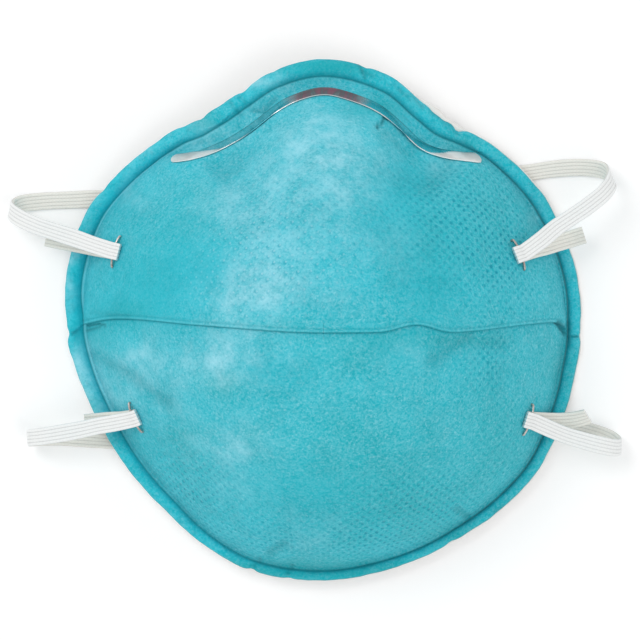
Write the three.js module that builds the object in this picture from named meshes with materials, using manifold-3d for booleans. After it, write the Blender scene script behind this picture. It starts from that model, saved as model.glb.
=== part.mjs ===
// Moulded cup respirator, lying rim down: a dyed nonwoven cover over a white moulded liner, an
// aluminium nose clip, and two flat elastic straps stapled to the cheeks.
// Millimetres. +Z up, +Y towards the nose, +X to the wearer's left cheek seen from the front.

import * as THREE from "three";
import Module from "manifold-3d";

const wasm = await Module();
wasm.setup();

// ---- driving dimensions -------------------------------------------------------------------

const GAP = 0.3; // clearance kept between neighbouring pieces
const COVER = 1.0; // wall of the outer cover
const LINER = 1.0; // wall of the inner shell
const WALL = COVER + GAP + LINER; // whole wall, cover face to liner face
const CROWN = { x: 0, y: -3, z: 52 }; // highest point of the dome, on the fold line
const TOP = { reach: 60, round: 2.0, sheer: 1.25 }; // the round dome about the crown
const TOP_BLEND = [0.25, 0.92]; // shares of the way to the foot where it gives way to the sides
const SOFT_FOOT = 0.03; // rounds the foot of the wall, where it leaves the flange
const SHELF_SLOPE = 0.25; // rise per mm of the strip between groove and wall foot

// The cup in each direction around the crown. at: degrees from +X; reach: crown to rim edge in
// plan; lift: rim underside above the floor; flange: rim edge to groove; shelf: groove to wall
// foot; round and sheer: exponents of the dome's profile, from the crown and at the foot.
const DIRECTIONS = [
  { at: 0, reach: 63.6, lift: 0.0, flange: 3.2, shelf: 0.8, round: 1.95, sheer: 1.3 },
  { at: 18, reach: 64.2, lift: 0.0, flange: 3.3, shelf: 0.8, round: 1.9, sheer: 1.3 },
  { at: 30, reach: 64.1, lift: 1.5, flange: 3.5, shelf: 0.6, round: 1.8, sheer: 1.25 },
  { at: 40, reach: 63.1, lift: 3.0, flange: 3.5, shelf: 0.2, round: 1.65, sheer: 1.3 },
  { at: 47, reach: 62.3, lift: 3.9, flange: 3.5, shelf: 0.0, round: 1.55, sheer: 1.35 },
  { at: 54, reach: 61.1, lift: 4.9, flange: 3.8, shelf: 1.2, round: 1.5, sheer: 1.3 },
  { at: 60, reach: 60.2, lift: 5.7, flange: 4.0, shelf: 1.9, round: 1.5, sheer: 1.3 },
  { at: 67, reach: 61.8, lift: 6.6, flange: 4.2, shelf: 2.3, round: 1.55, sheer: 1.3 },
  { at: 76, reach: 65.3, lift: 7.5, flange: 4.2, shelf: 2.0, round: 1.65, sheer: 1.3 },
  { at: 90, reach: 67.3, lift: 8.0, flange: 4.2, shelf: 2.0, round: 1.7, sheer: 1.35 },
  { at: 100, reach: 65.8, lift: 7.7, flange: 4.2, shelf: 2.7, round: 1.65, sheer: 1.3 },
  { at: 108, reach: 63.1, lift: 7.0, flange: 4.2, shelf: 3.5, round: 1.6, sheer: 1.3 },
  { at: 115, reach: 61.4, lift: 6.1, flange: 4.2, shelf: 3.6, round: 1.5, sheer: 1.3 },
  { at: 121, reach: 61.0, lift: 5.4, flange: 4.1, shelf: 2.9, round: 1.5, sheer: 1.3 },
  { at: 127, reach: 62.1, lift: 4.7, flange: 4.0, shelf: 1.6, round: 1.5, sheer: 1.35 },
  { at: 133, reach: 62.7, lift: 4.0, flange: 3.9, shelf: 0.0, round: 1.55, sheer: 1.35 },
  { at: 143, reach: 64.2, lift: 2.9, flange: 3.9, shelf: 0.2, round: 1.7, sheer: 1.3 },
  { at: 154, reach: 65.7, lift: 1.7, flange: 4.0, shelf: 0.6, round: 1.85, sheer: 1.3 },
  { at: 166, reach: 65.2, lift: 0.0, flange: 4.0, shelf: 0.8, round: 1.95, sheer: 1.3 },
  { at: 180, reach: 63.4, lift: 0.0, flange: 3.9, shelf: 0.8, round: 1.95, sheer: 1.3 },
  { at: 191, reach: 61.3, lift: 0.0, flange: 3.8, shelf: 0.8, round: 1.95, sheer: 1.3 },
  { at: 201, reach: 59.9, lift: 1.6, flange: 3.7, shelf: 0.7, round: 1.95, sheer: 1.3 },
  { at: 212, reach: 59.1, lift: 2.1, flange: 3.5, shelf: 0.6, round: 1.95, sheer: 1.3 },
  { at: 226, reach: 58.8, lift: 2.5, flange: 3.3, shelf: 0.6, round: 1.95, sheer: 1.35 },
  { at: 240, reach: 60.2, lift: 2.8, flange: 3.2, shelf: 0.6, round: 1.95, sheer: 1.4 },
  { at: 254, reach: 61.6, lift: 3.0, flange: 3.1, shelf: 0.6, round: 2.0, sheer: 1.45 },
  { at: 270, reach: 61.4, lift: 3.0, flange: 3.0, shelf: 0.6, round: 2.0, sheer: 1.45 },
  { at: 287, reach: 60.8, lift: 2.9, flange: 3.0, shelf: 0.6, round: 2.0, sheer: 1.45 },
  { at: 302, reach: 60.9, lift: 2.7, flange: 3.0, shelf: 0.6, round: 1.95, sheer: 1.4 },
  { at: 317, reach: 62.2, lift: 2.4, flange: 3.1, shelf: 0.6, round: 1.95, sheer: 1.35 },
  { at: 329, reach: 63.1, lift: 2.1, flange: 3.1, shelf: 0.7, round: 1.95, sheer: 1.3 },
  { at: 340, reach: 62.9, lift: 1.6, flange: 3.2, shelf: 0.8, round: 1.95, sheer: 1.3 },
  { at: 350, reach: 62.9, lift: 0.0, flange: 3.2, shelf: 0.8, round: 1.95, sheer: 1.3 },
];

// The fold where the upper panel laps over the lower one. rise: its height above the crown line.
const FOLD = [
  { x: -62.0, rise: 0.0 },
  { x: -59.0, rise: 1.9 },
  { x: -50.0, rise: 3.4 },
  { x: -30.0, rise: 1.8 },
  { x: 0.0, rise: 0.0 },
  { x: 13.0, rise: 0.1 },
  { x: 22.5, rise: 1.9 },
  { x: 31.0, rise: 0.1 },
  { x: 48.0, rise: 1.8 },
  { x: 56.5, rise: 2.5 },
  { x: 62.0, rise: 0.0 },
];
const FOLD_PROUD = 0.9; // the upper panel stands this far out over the lower one
const FOLD_SUNK = 0.15; // the lower panel dips this far beside the fold
const FOLD_SPREAD = 9; // both settle back over this distance
const FOLD_ENDS = [52, 58]; // it fades out between these distances from the centre line
const FOLD_PULL = 7; // meshing lines follow the fold within about this distance
const FOLD_HALF = 0.3; // half the width of the step between the panels

// Rings of the cup's surface, from the rim edge to the crown. across: share of the flange;
// rho: share of the way from the crown to the wall foot; puff: outer face above the plain wall.
const RINGS = [
  { across: 0, puff: -0.35 },
  { across: 0.4, puff: 0.35 },
  { across: 1, puff: -0.3 },
  { rho: 1, puff: 0 },
  { rho: 0.975, puff: 0 },
  { rho: 0.945, puff: 0 },
  { rho: 0.895, puff: 0 },
  { rho: 0.83, puff: 0 },
  { rho: 0.74, puff: 0 },
  { rho: 0.63, puff: 0 },
  { rho: 0.51, puff: 0 },
  { rho: 0.38, puff: 0 },
  { rho: 0.24, puff: 0 },
  { rho: 0.1, puff: 0 },
];
const HALF_STEPS = 35; // meshing steps in each half turn
const LINER_SHOWS = 0.35; // the liner's edge shows this far past the cover on the +X side
// Beside the notch in the nose rim the cover has drawn back and the liner's edge stands out.
const TONGUE = { at: 62.5, half: 6.6, out: 1.35 };

// The nose clip's lower edge in plan. towards: plan direction from it to the upper edge, degrees.
const CLIP = [
  { x: -36.9, y: 38.25, towards: 110 },
  { x: -31.0, y: 39.1, towards: 113 },
  { x: -24.0, y: 41.7, towards: 118 },
  { x: -17.6, y: 45.5, towards: 122 },
  { x: -11.6, y: 50.1, towards: 118 },
  { x: -5.7, y: 53.3, towards: 104 },
  { x: 0.5, y: 54.6, towards: 90 },
  { x: 6.7, y: 53.1, towards: 78 },
  { x: 13.2, y: 50.2, towards: 66 },
  { x: 18.1, y: 46.4, towards: 60 },
  { x: 22.5, y: 42.1, towards: 60 },
  { x: 27.4, y: 39.8, towards: 66 },
  { x: 32.7, y: 38.9, towards: 69 },
  { x: 38.1, y: 38.5, towards: 70 },
];
const CLIP_WIDTH = 5;
const CLIP_THICK = 0.6;
const CLIP_SEAT = 0.55; // clearance under the clip
const CLIP_STEP = 2; // spacing of its meshing steps
const CLIP_END_STEPS = 5; // meshing steps round each rounded end
const CLIP_SAMPLES = 240; // samples of its run, to measure lengths along it

const STRAP_WIDTH = 4.3;
const STRAP_THICK = 0.9;
const STRAP_STEPS = 3; // meshing steps between points of a strap's route

const STAPLE_SPAN = 8.4; // length of the crown
const STAPLE_WIRE = 0.5;
const STAPLE_SEAT = 0.65; // beside the strap the crown runs this high over the cover
const STAPLE_KNEE = 2.55; // half the stretch of the crown that stands over the strap
const STAPLE_LEG = 2.75; // legs reach this far below the cover's face
const STAPLE_CLINCH = 2.2; // length of each bent-in tip
const STAPLE_HOLE = 0.75; // radius of the holes for the legs

// Each strap end. x, y: middle of the staple's crown in plan; lean: crown from +Y towards -X,
// degrees; side: -1 where the strap leaves towards -X, else 1.
const ANCHORS = {
  upper_left: { x: -50.8, y: 16.7, lean: -12.6, side: -1 },
  upper_right: { x: 47.7, y: 15.9, lean: 17.3, side: 1 },
  lower_left: { x: -46.0, y: -23.9, lean: 16.5, side: -1 },
  lower_right: { x: 50.1, y: -24.5, lean: -14.2, side: 1 },
};

// Where the stapled end lies over its staple. out: along the wall away from the crown wire,
// high: above the cover, both in the staple's own frame. The strap doubles back on itself.
const TAIL_HIGH = GAP + STRAP_THICK / 2;
const WIRE_HIGH = GAP + STRAP_THICK + GAP + STAPLE_WIRE / 2;
const TOP_HIGH = WIRE_HIGH * 2 - TAIL_HIGH;
const TURN_RADIUS = (TOP_HIGH - TAIL_HIGH) / 2;
const TURN_OUT = -1.4; // centre of the doubling back, inward of the crown wire
const END_RUN = 1.6; // straight stretch either side of the crown wire

// The free stretches of each strap, end by end. A tail lists points from its cut end to the
// staple; a run lists points from the staple to the middle of the hidden stretch.
// lean: the strap's width direction in plan, from +Y towards -X, degrees; tip: its rise towards
// +Y, degrees.
const STRAPS = {
  upper_strap: {
    left: "upper_left",
    right: "upper_right",
    leftTail: [
      { x: -68.6, y: 20.3, z: 4.6, lean: -11, tip: 0 },
      { x: -64.5, y: 19.45, z: 4.2, lean: -11, tip: 0 },
      { x: -60.4, y: 18.65, z: 4.6, lean: -11, tip: 0 },
      { x: -57.3, y: 18.05, z: 6.6, lean: -12, tip: 0 },
      { x: -54.9, y: 17.55, z: 10.4, lean: -12, tip: 0 },
    ],
    leftRun: [
      { x: -56.7, y: 18.5, z: 13.3, lean: -16, tip: 0 },
      { x: -61.0, y: 20.0, z: 11.5, lean: -19, tip: 0 },
      { x: -66.0, y: 21.6, z: 10.8, lean: -20, tip: 0 },
      { x: -71.0, y: 23.3, z: 10.3, lean: -20, tip: 0 },
      { x: -75.4, y: 25.4, z: 8.6, lean: -17, tip: 0 },
      { x: -77.2, y: 27.2, z: 5.2, lean: -12, tip: 0 },
      { x: -75.2, y: 28.6, z: 1.8, lean: -6, tip: 0 },
      { x: -70.3, y: 29.3, z: 0.45, lean: -3, tip: 0 },
      { x: -60.0, y: 29.8, z: 0.45, lean: 0, tip: 0 },
      { x: -48.0, y: 30.6, z: 0.45, lean: 4, tip: 0 },
      { x: -24.0, y: 32.6, z: 0.45, lean: 5, tip: 0 },
    ],
    rightRun: [
      { x: 53.6, y: 19.7, z: 16.8, lean: 28, tip: 0 },
      { x: 57.2, y: 22.7, z: 14.6, lean: 32, tip: 0 },
      { x: 61.4, y: 25.5, z: 13.4, lean: 32, tip: 0 },
      { x: 65.6, y: 28.4, z: 12.6, lean: 34, tip: 0 },
      { x: 69.4, y: 31.6, z: 10.8, lean: 35, tip: 0 },
      { x: 71.1, y: 34.6, z: 6.8, lean: 26, tip: 0 },
      { x: 69.2, y: 36.9, z: 2.3, lean: 10, tip: 0 },
      { x: 64.4, y: 37.7, z: 0.5, lean: -2, tip: 0 },
      { x: 57.6, y: 37.4, z: 0.45, lean: -6, tip: 0 },
      { x: 49.0, y: 36.2, z: 0.45, lean: -8, tip: 0 },
      { x: 26.0, y: 34.2, z: 0.45, lean: -4, tip: 0 },
    ],
    rightTail: [
      { x: 64.4, y: 21.0, z: 5.0, lean: 17, tip: 0 },
      { x: 60.6, y: 19.8, z: 5.0, lean: 17, tip: 0 },
      { x: 57.5, y: 18.9, z: 6.8, lean: 17, tip: 0 },
      { x: 54.6, y: 18.0, z: 10.2, lean: 17, tip: 0 },
      { x: 51.7, y: 17.2, z: 14.4, lean: 17, tip: 0 },
    ],
  },
  lower_strap: {
    left: "lower_left",
    right: "lower_right",
    leftTail: [
      { x: -59.0, y: -25.4, z: 6.1, lean: 5, tip: 0 },
      { x: -56.6, y: -25.2, z: 5.7, lean: 6, tip: 0 },
      { x: -53.9, y: -24.9, z: 6.0, lean: 8, tip: 0 },
      { x: -51.5, y: -24.7, z: 7.6, lean: 11, tip: 0 },
      { x: -49.5, y: -24.6, z: 10.9, lean: 14, tip: 0 },
    ],
    leftRun: [
      { x: -51.6, y: -25.4, z: 12.5, lean: 14, tip: 0 },
      { x: -55.5, y: -26.1, z: 10.4, lean: 13, tip: 0 },
      { x: -60.5, y: -27.2, z: 9.2, lean: 12, tip: 0 },
      { x: -65.5, y: -28.1, z: 8.7, lean: 9, tip: 0 },
      { x: -69.9, y: -28.8, z: 7.8, lean: 6, tip: 0 },
      { x: -72.6, y: -29.1, z: 5.6, lean: 3, tip: 0 },
      { x: -72.5, y: -29.2, z: 2.9, lean: 1, tip: 0 },
      { x: -69.8, y: -29.1, z: 0.8, lean: -1, tip: 0 },
      { x: -64.6, y: -29.1, z: 0.45, lean: -3, tip: 0 },
      { x: -56.0, y: -29.6, z: 0.45, lean: -5, tip: 0 },
      { x: -45.0, y: -30.2, z: 0.45, lean: -3, tip: 0 },
      { x: -23.0, y: -30.2, z: 0.45, lean: 3, tip: 0 },
    ],
    rightRun: [
      { x: 55.9, y: -26.9, z: 11.5, lean: -17, tip: 0 },
      { x: 59.6, y: -28.4, z: 10.0, lean: -18, tip: 0 },
      { x: 64.2, y: -29.8, z: 9.3, lean: -16, tip: 0 },
      { x: 68.8, y: -31.0, z: 8.8, lean: -13, tip: 0 },
      { x: 72.2, y: -31.6, z: 6.9, lean: -8, tip: 0 },
      { x: 73.3, y: -31.1, z: 4.0, lean: 0, tip: 0 },
      { x: 71.7, y: -29.8, z: 1.4, lean: 9, tip: 0 },
      { x: 67.4, y: -28.0, z: 0.5, lean: 16, tip: 0 },
      { x: 61.0, y: -26.5, z: 0.45, lean: 11, tip: 0 },
      { x: 50.0, y: -25.4, z: 0.45, lean: 2, tip: 0 },
      { x: 25.0, y: -27.0, z: 0.45, lean: -4, tip: 0 },
    ],
    rightTail: [
      { x: 65.2, y: -23.7, z: 8.0, lean: -2, tip: 38 },
      { x: 62.2, y: -24.6, z: 6.6, lean: -4, tip: 22 },
      { x: 58.8, y: -25.0, z: 6.0, lean: -6, tip: 6 },
      { x: 56.2, y: -25.0, z: 6.9, lean: -9, tip: 0 },
      { x: 53.8, y: -24.9, z: 9.6, lean: -13, tip: 0 },
    ],
  },
};

// ---- smooth tables ------------------------------------------------------------------------

// Slope of a table column at a row, flat at peaks so that the curve never overshoots.
function slopeAt(before, after) {
  if (before * after <= 0) return 0;
  return (2 * before * after) / (before + after);
}

function hermite(a, b, slopeA, slopeB, width, t) {
  const u = t * t * (3 - 2 * t);
  const start = t * (1 - t) * (1 - t) * slopeA;
  const end = -t * t * (1 - t) * slopeB;
  return a + (b - a) * u + (start + end) * width;
}

// Value of column key at position value, between rows sorted by column along. A period makes
// the table run round; without one it is held at its ends.
function readTable(rows, along, key, value, period) {
  const count = rows.length;
  const row = (i) => rows[((i % count) + count) % count];
  const place = (i) => row(i)[along] + (period ? Math.floor(i / count) * period : 0);
  const rise = (i) => (row(i + 1)[key] - row(i)[key]) / (place(i + 1) - place(i));
  let at = value;
  if (period) at = ((value % period) + period) % period;
  else at = Math.min(Math.max(value, rows[0][along]), rows[count - 1][along]);
  let i = 0;
  while (i < count - 1 && place(i + 1) < at) i += 1;
  if (!period) i = Math.min(i, count - 2);
  const width = place(i + 1) - place(i);
  const open = !period;
  const slopeA = open && i === 0 ? 0 : slopeAt(rise(i - 1), rise(i));
  const slopeB = open && i === count - 2 ? 0 : slopeAt(rise(i), rise(i + 1));
  const t = (at - place(i)) / width;
  return hermite(row(i)[key], row(i + 1)[key], slopeA, slopeB, width, t);
}

const degrees = (angle) => (angle * Math.PI) / 180;

function direction(at) {
  const read = (key) => readTable(DIRECTIONS, "at", key, at, 360);
  const groove = read("reach") - read("flange");
  return {
    reach: read("reach"),
    lift: read("lift"),
    groove,
    foot: groove - read("shelf"),
    round: read("round"),
    sheer: read("sheer"),
  };
}

// ---- the cup's surface --------------------------------------------------------------------

// Share of the dome's height at rho, the share of the way from the crown to the foot.
function domeShare({ round, sheer }, rho) {
  const full = (r) => (1 - Math.min(r, 1) ** round + SOFT_FOOT) ** (1 / sheer);
  return (full(rho) - full(1)) / (full(0) - full(1));
}

// Height of the cover's plain outer face above the floor at a point in plan.
function faceHeight(x, y) {
  const far = Math.hypot(x - CROWN.x, y - CROWN.y);
  const way = direction((Math.atan2(y - CROWN.y, x - CROWN.x) * 180) / Math.PI);
  const rim = way.lift + WALL;
  const footHeight = rim + (way.groove - way.foot) * SHELF_SLOPE;
  if (far >= way.groove) return rim;
  if (far >= way.foot) return rim + (way.groove - far) * SHELF_SLOPE;
  const rho = far / way.foot;
  const side = THREE.MathUtils.smoothstep(rho, TOP_BLEND[0], TOP_BLEND[1]);
  const share = THREE.MathUtils.lerp(domeShare(TOP, far / TOP.reach), domeShare(way, rho), side);
  return footHeight + (CROWN.z - footHeight) * share;
}

function faceNormal(x, y) {
  const step = 0.2;
  const slopeX = (faceHeight(x + step, y) - faceHeight(x - step, y)) / (2 * step);
  const slopeY = (faceHeight(x, y + step) - faceHeight(x, y - step)) / (2 * step);
  return new THREE.Vector3(-slopeX, -slopeY, 1).normalize();
}

const facePoint = (x, y) => new THREE.Vector3(x, y, faceHeight(x, y));

const foldRise = (x) => readTable(FOLD, "x", "rise", x);

// How far the panels stand out (+) or dip (-) beside the fold.
function foldStep(x, y, upper) {
  const away = (y - CROWN.y - foldRise(x)) / FOLD_SPREAD;
  const fade = 1 - THREE.MathUtils.smoothstep(Math.abs(x), FOLD_ENDS[0], FOLD_ENDS[1]);
  return (upper ? FOLD_PROUD : -FOLD_SUNK) * Math.exp(-away * away) * fade;
}

// The meshing lines from rim to crown: one set above the fold and one below it.
function meridians() {
  const list = [];
  for (const upper of [true, false]) {
    for (let i = 0; i <= HALF_STEPS; i += 1) {
      list.push({ at: (upper ? 0 : 180) + (180 * i) / HALF_STEPS, upper });
    }
  }
  return list;
}

// The cover's plain outer face as a grid of rings and meridians, with its unit normals and the
// factor by which an offset grows where the face bends.
function cupGrid() {
  const lines = meridians();
  const points = RINGS.map((ring) =>
    lines.map((line) => {
      const way = direction(line.at);
      const flat = ring.across !== undefined;
      const far = flat
        ? way.reach - ring.across * (way.reach - way.groove)
        : way.foot * ring.rho;
      const x = CROWN.x + far * Math.cos(degrees(line.at));
      const level = CROWN.y + far * Math.sin(degrees(line.at));
      const nudge = line.upper ? FOLD_HALF : -FOLD_HALF;
      const near = (level - CROWN.y) / FOLD_PULL;
      const y = level + nudge + foldRise(x) * Math.exp(-near * near);
      return new THREE.Vector3(x, y, flat ? way.lift + WALL : faceHeight(x, y));
    }),
  );
  const normals = points.map((ring) => ring.map(() => new THREE.Vector3()));
  const touching = points.map((ring) => ring.map(() => []));
  for (const face of gridFaces(points.length, lines)) {
    const [a, b, c] = face.map(([k, i]) => points[k][i]);
    const cross = b.clone().sub(a).cross(c.clone().sub(a));
    for (const [k, i] of face) {
      normals[k][i].add(cross);
      touching[k][i].push(cross.clone().normalize());
    }
  }
  const stretch = normals.map((ring, k) =>
    ring.map((normal, i) => {
      normal.normalize();
      const sum = touching[k][i].reduce((total, unit) => total + unit.dot(normal), 0);
      return Math.min(touching[k][i].length / sum, 1.25);
    }),
  );
  return { lines, points, normals, stretch };
}

// Triangles of one face of the grid, as [ring, line] corners, seen counterclockwise from above.
function gridFaces(ringCount, lines) {
  const count = lines.length;
  const half = count / 2;
  const last = ringCount - 1;
  const faces = [];
  for (let k = 0; k < last; k += 1) {
    for (let i = 0; i < count; i += 1) {
      const next = (i + 1) % count;
      faces.push([[k, i], [k, next], [k + 1, next]]);
      faces.push([[k, i], [k + 1, next], [k + 1, i]]);
    }
  }
  for (const start of [0, half]) {
    let low = start;
    let high = start + half - 1;
    while (high - low > 1) {
      faces.push([[last, low], [last, low + 1], [last, high - 1]]);
      if (high - 1 > low + 1) faces.push([[last, low], [last, high - 1], [last, high]]);
      else faces.push([[last, low], [last, low + 1], [last, high]]);
      low += 1;
      high -= 1;
    }
  }
  faces.push([[last, 0], [last, half - 1], [last, half]]);
  faces.push([[last, 0], [last, half], [last, count - 1]]);
  return faces;
}

// How far the liner's edge stands out past the cover's, towards the line's own direction and +X.
function linerEdge(line) {
  const turn = degrees(line.at);
  const tongue = Math.max(0, 1 - ((line.at - TONGUE.at) / TONGUE.half) ** 2) * TONGUE.out;
  const side = LINER_SHOWS * Math.max(0, Math.cos(turn));
  return new THREE.Vector3(tongue * Math.cos(turn) + side, tongue * Math.sin(turn), 0);
}

// One layer of the wall, between two depths below the plain face. edge moves the rim's edge.
function cupLayer(grid, topDepth, bottomDepth, finish) {
  const { lines, points, normals, stretch } = grid;
  const count = lines.length;
  const offset = (k, i, depth) => {
    const move = normals[k][i].clone().multiplyScalar(-depth * stretch[k][i]);
    if (RINGS[k].across !== undefined) move.set(0, 0, -depth);
    return points[k][i].clone().add(move);
  };
  const vertices = [];
  for (const top of [true, false]) {
    points.forEach((ring, k) => {
      ring.forEach((point, i) => {
        const placed = offset(k, i, top ? topDepth : bottomDepth);
        if (top) placed.addScaledVector(normals[k][i], finish.relief(k, lines[i], point));
        if (k === 0) placed.add(finish.edge(lines[i]));
        vertices.push(placed);
      });
    });
  }
  const index = ([k, i]) => k * count + i;
  const under = points.length * count;
  const triangles = [];
  for (const face of gridFaces(points.length, lines)) {
    const [a, b, c] = face.map(index);
    triangles.push(a, b, c, under + a, under + c, under + b);
  }
  for (let i = 0; i < count; i += 1) {
    const next = (i + 1) % count;
    triangles.push(under + i, under + next, next, under + i, next, i);
  }
  return solidGeometry(vertices, triangles);
}

// ---- solids from points and triangles -----------------------------------------------------

function solidGeometry(vertices, triangles) {
  const geometry = new THREE.BufferGeometry();
  geometry.setFromPoints(vertices);
  geometry.setIndex(triangles);
  return geometry;
}

function toManifold(geometry) {
  const vertProperties = Float32Array.from(geometry.attributes.position.array);
  const triVerts = Uint32Array.from(geometry.index.array);
  return new wasm.Manifold(new wasm.Mesh({ numProp: 3, vertProperties, triVerts }));
}

function fromManifold(solid) {
  const { vertProperties, triVerts } = solid.getMesh();
  const geometry = new THREE.BufferGeometry();
  geometry.setAttribute("position", new THREE.BufferAttribute(vertProperties, 3));
  geometry.setIndex(Array.from(triVerts));
  return geometry;
}

// A flat band swept through stations: at (middle), across (unit, its width), up (unit, its
// thickness), width and thick.
function band(stations) {
  const corners = [
    [-1, -1],
    [1, -1],
    [1, 1],
    [-1, 1],
  ];
  const vertices = [];
  for (const { at, across, up, width, thick } of stations) {
    for (const [side, level] of corners) {
      const corner = at.clone().addScaledVector(across, (side * width) / 2);
      vertices.push(corner.addScaledVector(up, (level * thick) / 2));
    }
  }
  const triangles = [0, 2, 1, 0, 3, 2];
  for (let s = 0; s + 1 < stations.length; s += 1) {
    for (let c = 0; c < 4; c += 1) {
      const a = s * 4 + c;
      const b = s * 4 + ((c + 1) % 4);
      triangles.push(a, b, b + 4, a, b + 4, a + 4);
    }
  }
  const end = (stations.length - 1) * 4;
  triangles.push(end, end + 1, end + 2, end, end + 2, end + 3);
  return solidGeometry(vertices, triangles);
}

// Stations of constant section along a smooth curve, the width held near given directions and
// nothing below the floor.
function sweep(points, wide, steps, width, thick) {
  const curve = new THREE.CatmullRomCurve3(points, false, "centripetal");
  const count = (points.length - 1) * steps;
  const stations = [];
  for (let s = 0; s <= count; s += 1) {
    const segment = Math.min(Math.floor(s / steps), points.length - 2);
    const blend = s / steps - segment;
    const along = curve.getTangent(s / count);
    const across = wide[segment].clone().lerp(wide[segment + 1], blend);
    across.addScaledVector(along, -across.dot(along)).normalize();
    const up = across.clone().cross(along).negate();
    const at = curve.getPoint(s / count);
    const clear = (Math.abs(up.z) * thick + Math.abs(across.z) * width) / 2;
    at.z = Math.max(at.z, clear);
    stations.push({ at, across, up, width, thick });
  }
  return stations;
}

// ---- nose clip ----------------------------------------------------------------------------

function clipStation({ x, y, z: towards }) {
  const way = new THREE.Vector3(Math.cos(degrees(towards)), Math.sin(degrees(towards)), 0);
  const lower = facePoint(x, y);
  const step = 0.05;
  let upper = lower;
  for (let far = step; upper.distanceTo(lower) < CLIP_WIDTH; far += step) {
    upper = facePoint(x + far * way.x, y + far * way.y);
  }
  const at = lower.clone().add(upper).multiplyScalar(0.5);
  return { at, across: upper.clone().sub(lower).normalize() };
}

// How far a station stands off the face so that its whole width clears it.
function clipLift({ at, across, up }) {
  const steps = 8;
  let lift = 0;
  for (let s = 0; s <= steps; s += 1) {
    const under = at.clone().addScaledVector(across, (s / steps - 0.5) * CLIP_WIDTH);
    const normal = faceNormal(under.x, under.y);
    const sunk = (faceHeight(under.x, under.y) - under.z) * normal.z;
    lift = Math.max(lift, sunk / Math.max(normal.dot(up), 0.5));
  }
  return lift;
}

// Distances along the clip, with its width at each: round ends and an even run between.
function clipPlaces(length) {
  const radius = CLIP_WIDTH / 2;
  const ends = [];
  for (let s = 0; s < CLIP_END_STEPS; s += 1) {
    const turn = degrees(8 + (82 * s) / CLIP_END_STEPS);
    ends.push({ far: radius * (1 - Math.cos(turn)), width: CLIP_WIDTH * Math.sin(turn) });
  }
  const steps = Math.round((length - 2 * radius) / CLIP_STEP);
  const run = [];
  for (let s = 0; s <= steps; s += 1) {
    run.push({ far: radius + ((length - 2 * radius) * s) / steps, width: CLIP_WIDTH });
  }
  const others = ends.map(({ far, width }) => ({ far: length - far, width })).reverse();
  return [...ends, ...run, ...others];
}

function noseClip() {
  const rows = CLIP.map((row) => new THREE.Vector3(row.x, row.y, row.towards));
  const curve = new THREE.CatmullRomCurve3(rows, false, "centripetal");
  const samples = [];
  const run = [];
  for (let s = 0; s <= CLIP_SAMPLES; s += 1) {
    samples.push(clipStation(curve.getPoint(s / CLIP_SAMPLES)));
    run.push(s ? run[s - 1] + samples[s].at.distanceTo(samples[s - 1].at) : 0);
  }
  const places = clipPlaces(run[CLIP_SAMPLES]);
  const stations = places.map(({ far, width }) => {
    const after = Math.max(run.findIndex((length) => length >= far), 1);
    const share = (after - 1 + (far - run[after - 1]) / (run[after] - run[after - 1])) / CLIP_SAMPLES;
    const station = clipStation(curve.getPoint(share));
    const along = samples[after].at.clone().sub(samples[after - 1].at).normalize();
    station.across.addScaledVector(along, -station.across.dot(along)).normalize();
    station.up = station.across.clone().cross(along).negate();
    return { ...station, width, thick: CLIP_THICK };
  });
  const near = (list, s, reach) => list.slice(Math.max(s - reach, 0), s + reach + 1);
  const lifts = stations.map(clipLift);
  const raised = lifts.map((_, s) => Math.max(...near(lifts, s, 2)));
  stations.forEach((station, s) => {
    const around = near(raised, s, 2);
    const lift = around.reduce((sum, value) => sum + value, 0) / around.length;
    station.at.addScaledVector(station.up, lift + CLIP_SEAT + CLIP_THICK / 2);
  });
  return band(stations);
}

// ---- staples and straps -------------------------------------------------------------------

// The frame in which a strap end is stapled: on the cover's face, with the crown wire along
// `crown`, the wall's outward normal `up`, and `out` down the wall away from the dome.
function anchorFrame(anchor) {
  const origin = facePoint(anchor.x, anchor.y);
  const up = faceNormal(anchor.x, anchor.y);
  const lean = degrees(anchor.lean);
  const crown = new THREE.Vector3(-Math.sin(lean), Math.cos(lean), 0);
  crown.addScaledVector(up, -crown.dot(up)).normalize();
  const out = crown.clone().cross(up).multiplyScalar(anchor.side);
  const place = (far, along, high) =>
    origin
      .clone()
      .addScaledVector(out, far)
      .addScaledVector(crown, along)
      .addScaledVector(up, high);
  return { origin, up, crown, out, place };
}

function staple(anchor) {
  const frame = anchorFrame(anchor);
  const reach = STAPLE_SPAN / 2 - STAPLE_WIRE / 2;
  const bend = 0.5;
  const deep = STAPLE_LEG + STAPLE_WIRE / 2;
  const half = [
    [reach - STAPLE_CLINCH, -deep - 0.5],
    [reach - bend, -deep - 0.1],
    [reach - bend * 0.2, -deep + bend * 0.5],
    [reach, -deep + bend * 1.4],
    [reach, STAPLE_SEAT - bend * 0.6],
    [reach - bend * 0.5, STAPLE_SEAT],
    [STAPLE_KNEE + 0.55, STAPLE_SEAT],
    [STAPLE_KNEE, WIRE_HIGH - 0.06],
    [STAPLE_KNEE - 0.3, WIRE_HIGH],
  ];
  const outline = [
    ...half.map(([along, high]) => [-along, high]),
    ...half.slice().reverse(),
  ];
  const points = outline.map(([along, high]) => frame.place(0, along, high));
  const stations = points.map((at, s) => {
    const before = points[Math.max(s - 1, 0)];
    const after = points[Math.min(s + 1, points.length - 1)];
    const along = after.clone().sub(before).normalize();
    const across = frame.out;
    const up = across.clone().cross(along).negate();
    return { at, across, up, width: STAPLE_WIRE, thick: STAPLE_WIRE };
  });
  return band(stations);
}

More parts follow.
